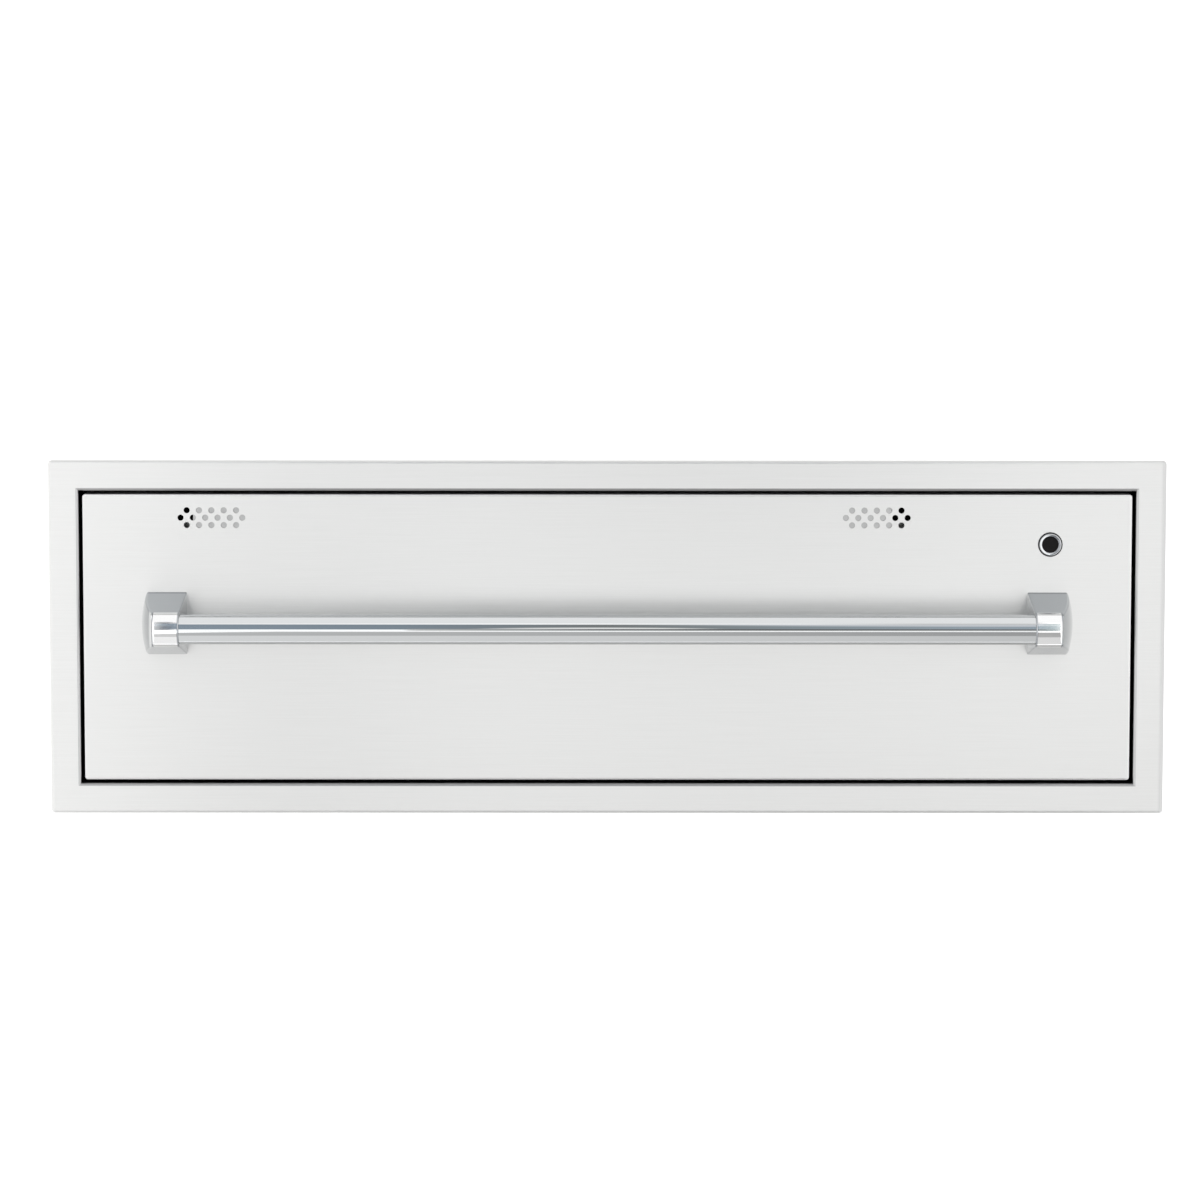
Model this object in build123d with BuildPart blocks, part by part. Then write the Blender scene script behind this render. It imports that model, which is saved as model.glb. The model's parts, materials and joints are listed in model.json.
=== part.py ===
from build123d import *
import math
import os

# Built-in electric warming drawer: a stainless casing that goes into a cut-out, a trim frame
# that covers the cut-out's edge, and a sealed, insulated drawer on ball-bearing slides.
# Millimetres. X is the width, +Y goes into the wall and +Z is up. The origin is the middle
# of the opening, in the plane where the trim frame's back meets the wall.

# ---- Driving dimensions ----

# Trim frame
frame_width = 914.4
frame_height = 290.8
frame_border = 25.0
frame_proud = 10.0
frame_sheet = 1.5
frame_bend = 2.5
frame_corner = 3.0
frame_back_lip = 8.0
sleeve_depth = 27.0
mounting_hole_radius = 2.5
mounting_hole_depth = 22.0
mounting_hole_spacing = 140.0
screwdriver_hole = 1.5

# Casing, liner and insulation
casing_sheet = 1.2
casing_gap = 0.3
casing_flange = 12.0
casing_front = 2.0
collar_back = 45.0
body_drop = 16.4
throat_back = 40.0
back_clear = 0.3
lid_flange_gap = 2.0
back_flange_gap = 1.0
lid_screw_behind_collar = 30.0
lid_screw_from_back = 36.0
lid_screw_count = 4
back_screw_spacing = 160.0
cavity_side_margin = 14.2
cavity_top_margin = 14.4
cavity_behind_slides = 21.0
rear_wool_space = 16.8
rear_wool_beyond_side = 10.0
rear_wool_beyond_top = 12.0
liner_sheet = 1.0
liner_corner = 4.0
insulation_gap = 0.3
wool_hole_gap = 1.0
gasket_width = 8.0
gasket_round = 3.6
gasket_corner = 2.0
gasket_from_cavity = 0.3
gasket_squeeze_gap = 0.3

# Limit thermostat on the back of the cavity
limit_thermostat_x = -120.0
limit_thermostat_radius = 8.0
limit_thermostat_depth = 10.0
limit_tab_spacing = 7.0
limit_tab_width = 5.0
limit_tab_sheet = 0.8
limit_tab_length = 4.0

# Drawer front
front_gap = 2.5
front_recess = 1.0
front_sheet = 1.2
front_bend = 2.0
front_corner = 2.5
front_depth = 26.0
front_lip = 24.0
front_notch_gap = 1.0
inner_panel_sheet = 1.0
inner_panel_margin = 3.0
panel_screw_in_gasket = 6.1
panel_screw_above_floor = 26.0
panel_screw_below_ceiling = 46.0
panel_screw_beside_duct = 30.0
front_wool_back = 12.0
front_wool_gap = 0.9
front_wool_beside_duct = 10.0
front_wool_below_vents = 36.0

# Drawer pan and rack
pan_sheet = 1.0
pan_floor_height = 44.0
pan_below_cavity_top = 28.0
pan_back_clearance = 22.0
pan_corner = 1.5
pan_floor_bend = 1.5
pan_seam = 0.2
pan_rim = 6.0
pan_rim_roll = 4.0
pan_screw_from_side = 75.3
pan_screw_above_floor = 27.0
pan_screw_below_top = 33.0
front_screw_length = 4.0
rack_rod_radius = 3.0
rack_wire_radius = 1.6
rack_wire_count = 20
rack_wire_margin = 20.0
rack_bays = 4
rack_bend = 18.0
rack_side_clearance = 8.0
rack_leg_height = 12.0
rack_leg_margin = 40.0
weld_bite = 0.5

# Telescopic slides
slide_thickness = 12.7
slide_length = 457.0
slide_height = 44.2
slide_web = 1.2
slide_front = 34.0
slide_height_above_middle = 8.0
lip_thickness = 2.2
ball_radius = 2.0
race_radius = 2.1
race_depth = 1.0
ball_from_wall = 8.4
middle_web_from_wall = 3.4
drawer_lip_from_wall = 6.2
lip_reach = 11.2
cage_sheet = 0.6
cage_length = 210.0
cage_behind_slide_front = 122.0
cage_hole_radius = 2.06
cage_hole_margin = 10.0
cage_leg = 2.4
outer_cage_web_from_wall = 2.0
inner_cage_web_from_wall = 5.1
balls_per_row = 4
slide_screw_from_front = 26.0
slide_screw_from_back = 51.0
slide_rivet_head = 0.5
slide_screw_head = 1.2
slide_screw_grip = 3.0

# Handle
handle_below_top = 106.1
handle_standoff = 50.0
bar_radius = 12.0
bar_wall = 1.5
bar_seat = 10.0
bar_fit = 0.05
nose_radius = 14.3
post_base_height = 51.0
post_base_width = 36.8
post_middle_width = 32.5
post_nose_width = 19.7
post_side_bulge = 4.2
post_inner_draft = 1.5
post_from_edge = 85.4
post_edge = 1.0
post_outer_edge = 2.0
cut_overrun = 2.0
handle_screw_radius = 3.0
handle_screw_spacing = 30.0
handle_screw_bite = 16.0
handle_screw_run_out = 1.0
handle_screw_fit = 0.05
handle_screw_head_radius = 5.0
handle_screw_head = 4.0
backing_thickness = 3.0
backing_size = 50.0
backing_corner = 3.0
backing_clear = 0.5

# Vents and their dampers
vent_hole_radius = 2.5
vent_pitch = 10.1
vent_row_pitch = 6.06
vent_long_row = 6
vent_below_top = 19.4
left_vent_from_edge = 106.0
right_vent_from_edge = 209.3
left_damper_shift = 14.4
right_damper_shift = 17.2
vent_cover_margin = 1.75
damper_height = 24.0
damper_sheet = 0.8
damper_clearance = 0.3
guide_rail = 5.0
guide_overlap = 2.0
guide_sheet = 1.0
damper_stem_radius = 2.5
damper_stem_short = 2.0
damper_knob_radius = 6.0
damper_knob_length = 8.5
damper_knob_stand_off = 0.8
damper_knob_bevel = 1.0
slot_clearance = 0.75
slot_notch_gap = 1.0
vent_sleeve_sheet = 0.8

# Power switch
switch_from_edge = 67.2
switch_below_top = 41.1
bezel_radius = 10.25
bezel_proud = 3.0
bezel_bevel = 1.6
barrel_radius = 8.0
barrel_length = 12.0
barrel_fit = 0.1
button_radius = 6.7
button_clearance = 0.2
button_recess = 1.8
button_length = 9.0
button_edge = 0.6
switch_nut_width = 20.0
switch_nut_thickness = 3.0
switch_nut_fit = 0.02
switch_body_side = 16.0
switch_body_corner = 2.0
switch_body_depth = 10.0

# Thermostat
thermostat_from_edge = 99.7
thermostat_below_top = 25.9
thermostat_side = 34.0
thermostat_depth = 18.0
shaft_radius = 3.0
shaft_socket = 12.0
shaft_end_gap = 0.5
shaft_in_knob = 10.0
shaft_fit = 0.1
shaft_hole_gap = 0.3
knob_skirt_radius = 10.0
knob_skirt = 3.0
knob_grip_radius = 8.0
knob_height = 15.0
knob_bevel = 1.0
knob_gap = 0.6
pointer_width = 1.2
pointer_length = 5.0
pointer_depth = 0.8
dial_radius = 13.8
dial_sheet = 0.6
dial_hole_gap = 0.5
bulb_radius = 3.0
bulb_length = 60.0
bulb_from_thermostat = 270.0
bulb_below_vents = 12.0
bulb_stand_off = 1.5
bulb_clip_wall = 1.0
bulb_clip_width = 8.0
bulb_clip_margin = 12.0
bulb_clip_mouth = 3.0
capillary_radius = 1.0
capillary_bend = 3.0
capillary_bite = 1.0
capillary_fit = 0.1
capillary_inset = 2.5
capillary_socket = 4.0
capillary_end_gap = 0.5

# Heating element and wiring bay
element_radius = 4.0
element_height = 20.0
element_from_side = 88.0
element_inner_run = 35.0
element_from_front = 178.0
element_from_back = 132.0
element_bend = 20.0
element_fit = 0.1
element_back_gap = 2.0
element_tail = 6.0
clip_from_element_end = 150.0
clip_sheet = 1.5
clip_width = 16.0
clip_rise = 4.0
clip_foot = 12.0
terminal_box_width = 140.0
terminal_box_height = 64.0
terminal_box_depth = 29.0
terminal_box_lift = 4.0
terminal_box_sheet = 1.2
terminal_flange = 10.0
terminal_screw_margin = 8.0
block_width = 50.0
block_height = 16.0
block_depth = 18.0
block_rise = 12.0
block_bore_radius = 3.0
block_bore_depth = 10.0
inlet_x = 45.0
inlet_fit = 0.2
inlet_bore_radius = 5.0
inlet_radius = 8.0
inlet_length = 16.0
inlet_head_radius = 11.0
inlet_head = 3.0

# Small fasteners
screw_head_radius = 3.5
screw_head_height = 2.0
screw_shank_radius = 2.0
screw_fit = 0.05
screw_length = 6.0
screw_end_gap = 0.2

# ---- Sizes that follow ----

opening_width = frame_width - 2 * frame_border
opening_height = frame_height - 2 * frame_border
casing_inside_width = opening_width + 2 * (frame_sheet + casing_gap)
casing_inside_height = opening_height + 2 * (frame_sheet + casing_gap)
cavity_width = opening_width - 2 * cavity_side_margin
cavity_height = opening_height - 2 * cavity_top_margin
cavity_wall = cavity_width / 2
cavity_floor = -cavity_height / 2
cavity_ceiling = -cavity_floor - body_drop
cavity_middle = (cavity_floor + cavity_ceiling) / 2
cavity_back = slide_front + slide_length + cavity_behind_slides
casing_depth = cavity_back + liner_sheet + rear_wool_space + casing_sheet
liner_flange_front = sleeve_depth

front_width = opening_width - 2 * front_gap
front_height = opening_height - 2 * front_gap
front_face = -frame_proud + front_recess
front_inside = front_face + front_sheet
front_back = front_face + front_depth
panel_back = front_back + inner_panel_sheet
front_top = front_height / 2
inner_width = front_width - 2 * inner_panel_margin
inner_height = front_height - 2 * inner_panel_margin

pan_half_width = cavity_wall - slide_thickness
pan_floor = cavity_floor + pan_floor_height
pan_top = -cavity_floor - pan_below_cavity_top
pan_height = pan_top - pan_floor
pan_back = cavity_back - pan_back_clearance
pan_depth = pan_back - panel_back

handle_z = front_top - handle_below_top
handle_y = front_face - handle_standoff
post_inner_face = front_width / 2 - post_from_edge
vent_z = front_top - vent_below_top
left_vent_x = left_vent_from_edge - front_width / 2
right_vent_x = front_width / 2 - right_vent_from_edge
switch_x = front_width / 2 - switch_from_edge
switch_z = front_top - switch_below_top
thermostat_x = front_width / 2 - thermostat_from_edge
thermostat_z = front_top - thermostat_below_top
element_z = cavity_floor + element_height
element_run = cavity_wall - element_from_side
element_front_row = sleeve_depth + element_from_front
element_rear_row = cavity_back - element_from_back
element_end = casing_depth + element_tail
terminal_box_z = cavity_floor + terminal_box_lift + terminal_box_height / 2
terminal_box_back = casing_depth + terminal_box_depth

# Ball rows of the slides, measured up from the slide's middle
outer_lip_top = slide_height / 2
outer_lip_bottom = outer_lip_top - lip_thickness
outer_ball_z = outer_lip_bottom + race_depth - race_radius
middle_lip_top = outer_ball_z - race_radius + race_depth
inner_ball_z = outer_ball_z - 2 * race_radius - slide_web
middle_lip_bottom = inner_ball_z + race_radius - race_depth
drawer_lip_top = inner_ball_z - race_radius + race_depth
drawer_lip_bottom = drawer_lip_top - lip_thickness

# Dampers: half of the covered length, and how far a damper runs from closed to fully open
vent_half = (vent_long_row - 1) * vent_pitch / 2 + vent_hole_radius
damper_length = 2 * (vent_half + vent_cover_margin)
damper_run = damper_length


def at_depth(y):
    """A drawing plane that faces the viewer at depth y. Extruding from it comes forward."""
    return Plane.XZ.offset(-y)


def save(builder, label):
    builder.part.label = label
    export_step(builder.part, f"parts/{label}.step")


def ring(width, height, hole_width, hole_height):
    """A rectangular outline with a rectangular hole."""
    Rectangle(width, height)
    Rectangle(hole_width, hole_height, mode=Mode.SUBTRACT)


def screw(head_plane, length=screw_length, head=screw_head_height):
    """A pan-head screw. The plane lies under the head and its normal points out of it."""
    with BuildPart() as one:
        with BuildSketch(head_plane):
            Circle(screw_head_radius)
        extrude(amount=head)
        with BuildSketch(head_plane):
            Circle(screw_shank_radius)
        extrude(amount=-length)
    return one.part


os.makedirs("parts", exist_ok=True)

# ---- Trim frame and casing ----

with BuildPart() as trim_frame:
    with BuildSketch(at_depth(0)):
        RectangleRounded(frame_width, frame_height, frame_corner)
        Rectangle(opening_width, opening_height, mode=Mode.SUBTRACT)
    extrude(amount=frame_proud)
    fillet(trim_frame.faces().sort_by(Axis.Y)[0].edges(), frame_bend)
    with BuildSketch(at_depth(-frame_sheet)):
        ring(
            frame_width - 2 * frame_sheet,
            frame_height - 2 * frame_sheet,
            opening_width + 2 * frame_sheet,
            opening_height + 2 * frame_sheet,
        )
    extrude(amount=frame_proud - 2 * frame_sheet, mode=Mode.SUBTRACT)
    with BuildSketch(at_depth(0)):
        ring(
            frame_width - 2 * frame_back_lip,
            frame_height - 2 * frame_back_lip,
            opening_width + 2 * frame_sheet,
            opening_height + 2 * frame_sheet,
        )
    extrude(amount=frame_sheet, mode=Mode.SUBTRACT)
    with BuildSketch(at_depth(sleeve_depth)):
        ring(
            opening_width + 2 * frame_sheet,
            opening_height + 2 * frame_sheet,
            opening_width,
            opening_height,
        )
    extrude(amount=sleeve_depth)
    with BuildSketch(Plane.YZ.offset(-frame_width / 2)):
        with Locations((mounting_hole_depth, 0)):
            with GridLocations(0, mounting_hole_spacing, 1, 2):
                Circle(mounting_hole_radius)
    extrude(amount=frame_width, mode=Mode.SUBTRACT)
save(trim_frame, "trim_frame")

# The casing is a wrap (floor and both sides in one sheet), a lid and a back tray. Behind the
# collar that holds the frame's sleeve, the body's top steps down.
wrap_half_width = casing_inside_width / 2
wrap_half_height = casing_inside_height / 2
body_top = wrap_half_height - body_drop
lid_top = body_top + casing_sheet
body_half_height = (wrap_half_height + body_top) / 2
body_middle = (body_top - wrap_half_height) / 2
lid_screw_front = collar_back + lid_screw_behind_collar
lid_screw_x = wrap_half_width - casing_flange / 2
back_screw_y = casing_depth - casing_flange / 2
lid_screw_back = casing_depth - lid_screw_from_back
lid_screw_pitch = (lid_screw_back - lid_screw_front) / (lid_screw_count - 1)
lid_screw_middle = (lid_screw_front + lid_screw_back) / 2
lid_flange_front = collar_back + casing_sheet + lid_flange_gap
lid_flange_back = casing_depth - casing_flange - back_flange_gap

with BuildPart() as casing_wrap:
    with BuildSketch(at_depth(casing_depth)):
        with Locations((0, -casing_sheet / 2)):
            Rectangle(2 * (wrap_half_width + casing_sheet), 2 * wrap_half_height + casing_sheet)
        Rectangle(2 * wrap_half_width, 2 * wrap_half_height, mode=Mode.SUBTRACT)
    extrude(amount=casing_depth - casing_front)
    with BuildSketch(at_depth(casing_depth)):
        with Locations((0, (wrap_half_height + body_top) / 2)):
            Rectangle(2 * (wrap_half_width + casing_sheet), body_drop)
    extrude(amount=casing_depth - collar_back, mode=Mode.SUBTRACT)
    with BuildSketch(at_depth(lid_flange_back)):
        for side in (-1, 1):
            with Locations((side * lid_screw_x, body_top - casing_sheet / 2)):
                Rectangle(casing_flange, casing_sheet)
    extrude(amount=lid_flange_back - lid_flange_front)
    with BuildSketch(Plane.XY.offset(body_top - casing_sheet)):
        with Locations((0, lid_screw_middle)):
            with GridLocations(2 * lid_screw_x, lid_screw_pitch, 2, lid_screw_count):
                Circle(screw_shank_radius + screw_fit)
    extrude(amount=casing_sheet, mode=Mode.SUBTRACT)
    with BuildSketch(Plane.YZ.offset(-wrap_half_width - casing_sheet)):
        with Locations((back_screw_y, 0)):
            with GridLocations(0, back_screw_spacing, 1, 2):
                Circle(screw_shank_radius + screw_fit)
        with Locations((mounting_hole_depth, 0)):
            with GridLocations(0, mounting_hole_spacing, 1, 2):
                Circle(mounting_hole_radius + screwdriver_hole)
    extrude(amount=2 * (wrap_half_width + casing_sheet), mode=Mode.SUBTRACT)
save(casing_wrap, "casing_wrap")

with BuildPart() as casing_lid:
    with BuildSketch(Plane.YZ.offset(-wrap_half_width - casing_sheet)):
        with BuildLine():
            Polyline(
                (casing_front, wrap_half_height),
                (casing_front, wrap_half_height + casing_sheet),
                (collar_back + casing_sheet, wrap_half_height + casing_sheet),
                (collar_back + casing_sheet, lid_top),
                (casing_depth, lid_top),
                (casing_depth, body_top),
                (collar_back, body_top),
                (collar_back, wrap_half_height),
                close=True,
            )
        make_face()
    extrude(amount=2 * (wrap_half_width + casing_sheet))
    with BuildSketch(Plane.XY.offset(body_top)):
        with Locations((0, lid_screw_middle)):
            with GridLocations(2 * lid_screw_x, lid_screw_pitch, 2, lid_screw_count):
                Circle(screw_shank_radius + screw_fit)
    extrude(amount=casing_sheet, mode=Mode.SUBTRACT)
save(casing_lid, "casing_lid")

terminal_screw_width = terminal_box_width + terminal_flange
terminal_screw_height = terminal_box_height - 2 * terminal_screw_margin

with BuildPart() as casing_back:
    with BuildSketch(at_depth(casing_depth)):
        with Locations((0, body_middle)):
            Rectangle(2 * (wrap_half_width - back_clear), 2 * (body_half_height - back_clear))
    extrude(amount=casing_flange)
    with BuildSketch(at_depth(casing_depth - casing_sheet)):
        with Locations((0, body_middle)):
            Rectangle(
                2 * (wrap_half_width - back_clear - casing_sheet),
                2 * (body_half_height - back_clear - casing_sheet),
            )
    extrude(amount=casing_flange, mode=Mode.SUBTRACT)
    with BuildSketch(Plane.YZ.offset(-wrap_half_width)):
        with Locations((back_screw_y, 0)):
            with GridLocations(0, back_screw_spacing, 1, 2):
                Circle(screw_shank_radius + screw_fit)
    extrude(amount=2 * wrap_half_width, mode=Mode.SUBTRACT)
    with BuildSketch(at_depth(casing_depth)):
        with Locations((0, element_z)):
            with GridLocations(2 * element_inner_run, 0, 2, 1):
                Circle(element_radius + element_back_gap)
        with Locations((0, terminal_box_z)):
            with GridLocations(terminal_screw_width, terminal_screw_height, 2, 2):
                Circle(screw_shank_radius + screw_fit)
    extrude(amount=casing_sheet, mode=Mode.SUBTRACT)
save(casing_back, "casing_back")

# The liner is the heated cavity: a box open to the front with a flange behind the sleeve and
# a throat as high as the opening, which clears the controls on the drawer front's back.
slide_z = slide_height_above_middle
slide_rivet_first = slide_front + slide_screw_from_front
slide_rivet_last = slide_front + slide_length - slide_screw_from_back
slide_rivet_ys = (slide_rivet_first, (slide_rivet_first + slide_rivet_last) / 2, slide_rivet_last)

with BuildPart() as cavity_liner:
    with BuildSketch(at_depth(cavity_back + liner_sheet)):
        with Locations((0, cavity_middle)):
            RectangleRounded(
                cavity_width + 2 * liner_sheet,
                cavity_ceiling - cavity_floor + 2 * liner_sheet,
                liner_corner + liner_sheet,
            )
    extrude(amount=cavity_back + liner_sheet - liner_flange_front)
    with BuildSketch(at_depth(throat_back + liner_sheet)):
        RectangleRounded(
            cavity_width + 2 * liner_sheet,
            cavity_height + 2 * liner_sheet,
            liner_corner + liner_sheet,
        )
    extrude(amount=throat_back + liner_sheet - liner_flange_front)
    with BuildSketch(at_depth(liner_flange_front + liner_sheet)):
        Rectangle(opening_width + 2 * frame_sheet, opening_height + 2 * frame_sheet)
    extrude(amount=liner_sheet)
    with BuildSketch(at_depth(cavity_back)):
        with Locations((0, cavity_middle)):
            RectangleRounded(cavity_width, cavity_ceiling - cavity_floor, liner_corner)
    extrude(amount=cavity_back, mode=Mode.SUBTRACT)
    with BuildSketch(at_depth(throat_back)):
        RectangleRounded(cavity_width, cavity_height, liner_corner)
    extrude(amount=throat_back, mode=Mode.SUBTRACT)
    with BuildSketch(at_depth(cavity_back + liner_sheet)):
        with Locations((0, element_z)):
            with GridLocations(2 * element_inner_run, 0, 2, 1):
                Circle(element_radius + element_fit)
    extrude(amount=liner_sheet, mode=Mode.SUBTRACT)
    with BuildSketch(Plane.YZ.offset(-cavity_wall - liner_sheet)):
        for y in slide_rivet_ys:
            with Locations((y, slide_z)):
                Circle(screw_shank_radius + screw_fit)
    extrude(amount=cavity_width + 2 * liner_sheet, mode=Mode.SUBTRACT)
save(cavity_liner, "cavity_liner")

# Insulation boards between the liner and the casing
wool_front = liner_flange_front + liner_sheet + insulation_gap
wool_back = cavity_back + liner_sheet
wool_below_floor = cavity_floor - liner_sheet - insulation_gap
wool_above_ceiling = cavity_ceiling + liner_sheet + insulation_gap
wool_under_lid = body_top - casing_sheet - insulation_gap
throat_wool_low = cavity_height / 2 + liner_sheet + insulation_gap
throat_wool_high = wrap_half_height - insulation_gap
wool_inside_width = cavity_wall + liner_sheet + insulation_gap

with BuildPart() as insulation_top:
    with BuildSketch(at_depth(wool_back)):
        with Locations((0, (wool_above_ceiling + wool_under_lid) / 2)):
            Rectangle(2 * cavity_wall, wool_under_lid - wool_above_ceiling)
    extrude(amount=wool_back - throat_back - liner_sheet - insulation_gap)
    with BuildSketch(at_depth(collar_back - insulation_gap)):
        with Locations((0, (throat_wool_low + throat_wool_high) / 2)):
            Rectangle(2 * cavity_wall, throat_wool_high - throat_wool_low)
    extrude(amount=collar_back - insulation_gap - wool_front)
save(insulation_top, "insulation_top")

with BuildPart() as insulation_bottom:
    with BuildSketch(at_depth(wool_back)):
        with Locations((0, (wool_below_floor - wrap_half_height + insulation_gap) / 2)):
            Rectangle(2 * wool_inside_width, wool_below_floor + wrap_half_height - insulation_gap)
    extrude(amount=wool_back - wool_front)
save(insulation_bottom, "insulation_bottom")

with BuildPart() as insulation_sides:
    with BuildSketch(at_depth(wool_back)):
        for side in (-1, 1):
            with Locations(
                (side * (wool_inside_width + wrap_half_width - insulation_gap) / 2, cavity_middle)
            ):
                Rectangle(
                    wrap_half_width - insulation_gap - wool_inside_width,
                    cavity_ceiling - cavity_floor,
                )
    extrude(amount=wool_back - wool_front)
save(insulation_sides, "insulation_sides")

with BuildPart() as insulation_rear:
    with BuildSketch(at_depth(casing_depth - casing_sheet - insulation_gap)):
        with Locations((0, cavity_middle)):
            Rectangle(
                2 * (cavity_wall + rear_wool_beyond_side),
                cavity_ceiling - cavity_floor + 2 * rear_wool_beyond_top,
            )
        with Locations((0, element_z)):
            with GridLocations(2 * element_inner_run, 0, 2, 1):
                Circle(element_radius + wool_hole_gap, mode=Mode.SUBTRACT)
        with Locations((limit_thermostat_x, 0)):
            Circle(limit_thermostat_radius + wool_hole_gap, mode=Mode.SUBTRACT)
    extrude(amount=casing_depth - casing_sheet - 2 * insulation_gap - wool_back)
save(insulation_rear, "insulation_rear")

with BuildPart() as limit_thermostat:
    with BuildSketch(at_depth(wool_back + limit_thermostat_depth)):
        with Locations((limit_thermostat_x, 0)):
            Circle(limit_thermostat_radius)
    extrude(amount=limit_thermostat_depth)
    with BuildSketch(at_depth(wool_back + limit_thermostat_depth + limit_tab_length)):
        with Locations((limit_thermostat_x, 0)):
            with GridLocations(limit_tab_spacing, 0, 2, 1):
                Rectangle(limit_tab_sheet, limit_tab_width)
    extrude(amount=limit_tab_length)
save(limit_thermostat, "limit_thermostat")

# Tubular heating element, laid in one loop under the pan
with BuildPart() as heating_element:
    with BuildLine() as element_path:
        FilletPolyline(
            (-element_inner_run, element_end, element_z),
            (-element_inner_run, element_rear_row, element_z),
            (-element_run, element_rear_row, element_z),
            (-element_run, element_front_row, element_z),
            (element_run, element_front_row, element_z),
            (element_run, element_rear_row, element_z),
            (element_inner_run, element_rear_row, element_z),
            (element_inner_run, element_end, element_z),
            radius=element_bend,
        )
    with BuildSketch(Plane(origin=element_path.line @ 0, z_dir=element_path.line % 0)):
        Circle(element_radius)
    sweep()
save(heating_element, "heating_element")

clip_top = element_z + element_radius + clip_rise
clip_x = element_run - clip_from_element_end

with BuildPart() as element_clips:
    for x in (-clip_x, clip_x):
        for y in (element_front_row, element_rear_row):
            with BuildSketch(Plane.YZ.offset(x)):
                with Locations((y, (cavity_floor + clip_top) / 2)):
                    Rectangle(clip_width, clip_top - cavity_floor)
                with Locations((y, element_z)):
                    Circle(element_radius + element_fit, mode=Mode.SUBTRACT)
            extrude(amount=clip_sheet)
            with BuildSketch(Plane.XY.offset(cavity_floor)):
                with Locations((x + clip_foot / 2, y)):
                    Rectangle(clip_foot, clip_width)
            extrude(amount=clip_sheet)
save(element_clips, "element_clips")

# Wiring box on the back, with the power inlet in its underside
box_floor = terminal_box_z - terminal_box_height / 2
inlet_y = casing_depth + terminal_box_depth / 2

with BuildPart() as terminal_box:
    with BuildSketch(at_depth(terminal_box_back)):
        with Locations((0, terminal_box_z)):
            Rectangle(terminal_box_width, terminal_box_height)
    extrude(amount=terminal_box_depth)
    with BuildSketch(at_depth(casing_depth + terminal_box_sheet)):
        with Locations((0, terminal_box_z)):
            Rectangle(terminal_box_width + 2 * terminal_flange, terminal_box_height)
    extrude(amount=terminal_box_sheet)
    with BuildSketch(at_depth(terminal_box_back - terminal_box_sheet)):
        with Locations((0, terminal_box_z)):
            Rectangle(
                terminal_box_width - 2 * terminal_box_sheet,
                terminal_box_height - 2 * terminal_box_sheet,
            )
    extrude(amount=terminal_box_depth, mode=Mode.SUBTRACT)
    with BuildSketch(at_depth(casing_depth + terminal_box_sheet)):
        with Locations((0, terminal_box_z)):
            with GridLocations(terminal_screw_width, terminal_screw_height, 2, 2):
                Circle(screw_shank_radius + screw_fit)
    extrude(amount=terminal_box_sheet, mode=Mode.SUBTRACT)
    with BuildSketch(Plane.XY.offset(box_floor)):
        with Locations((inlet_x, inlet_y)):
            Circle(inlet_radius + inlet_fit)
    extrude(amount=terminal_box_sheet, mode=Mode.SUBTRACT)
save(terminal_box, "terminal_box")

with BuildPart() as casing_screws:
    for side in (-1, 1):
        for k in range(lid_screw_count):
            lid_place = (side * lid_screw_x, lid_screw_front + k * lid_screw_pitch, lid_top)
            add(screw(Plane(origin=lid_place, z_dir=(0, 0, 1))))
        for z in (-back_screw_spacing / 2, back_screw_spacing / 2):
            side_place = (side * (wrap_half_width + casing_sheet), back_screw_y, z)
            add(screw(Plane(origin=side_place, z_dir=(side, 0, 0))))
        for up in (-1, 1):
            box_place = (
                side * terminal_screw_width / 2,
                casing_depth + terminal_box_sheet,
                terminal_box_z + up * terminal_screw_height / 2,
            )
            box_grip = terminal_box_sheet + casing_sheet + screw_end_gap
            add(screw(Plane(origin=box_place, z_dir=(0, 1, 0)), length=box_grip))
save(casing_screws, "casing_screws")

with BuildPart() as cable_inlet:
    with BuildSketch(Plane.XY.offset(box_floor - inlet_head)):
        with Locations((inlet_x, inlet_y)):
            Circle(inlet_head_radius)
    extrude(amount=inlet_head)
    with BuildSketch(Plane.XY.offset(box_floor)):
        with Locations((inlet_x, inlet_y)):
            Circle(inlet_radius)
    extrude(amount=inlet_length - inlet_head)
    with BuildSketch(Plane.XY.offset(box_floor - inlet_head)):
        with Locations((inlet_x, inlet_y)):
            Circle(inlet_bore_radius)
    extrude(amount=inlet_length, mode=Mode.SUBTRACT)
save(cable_inlet, "cable_inlet")

block_z = terminal_box_z + block_rise

with BuildPart() as terminal_block:
    with BuildSketch(at_depth(casing_depth + block_depth)):
        with Locations((0, block_z)):
            Rectangle(block_width, block_height)
    extrude(amount=block_depth)
    with BuildSketch(at_depth(casing_depth + block_depth)):
        with Locations((0, block_z)):
            with GridLocations(block_width / 3, 0, 3, 1):
                Circle(block_bore_radius)
    extrude(amount=block_bore_depth, mode=Mode.SUBTRACT)
save(terminal_block, "terminal_block")

# ---- Drawer front ----

left_damper_x = left_vent_x + left_damper_shift
right_damper_x = right_vent_x - right_damper_shift
left_slot_x = left_vent_x + damper_run / 2
right_slot_x = right_vent_x - damper_run / 2
slot_length = damper_run + 2 * (damper_stem_radius + slot_clearance)
slot_height = 2 * (damper_stem_radius + slot_clearance)
guide_length = damper_length + damper_run + 2 * damper_clearance
post_x = post_inner_face + post_base_width / 2
front_screw_x = (pan_half_width + cavity_wall) / 2
thermostat_notch = thermostat_side + 2 * front_notch_gap

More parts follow.
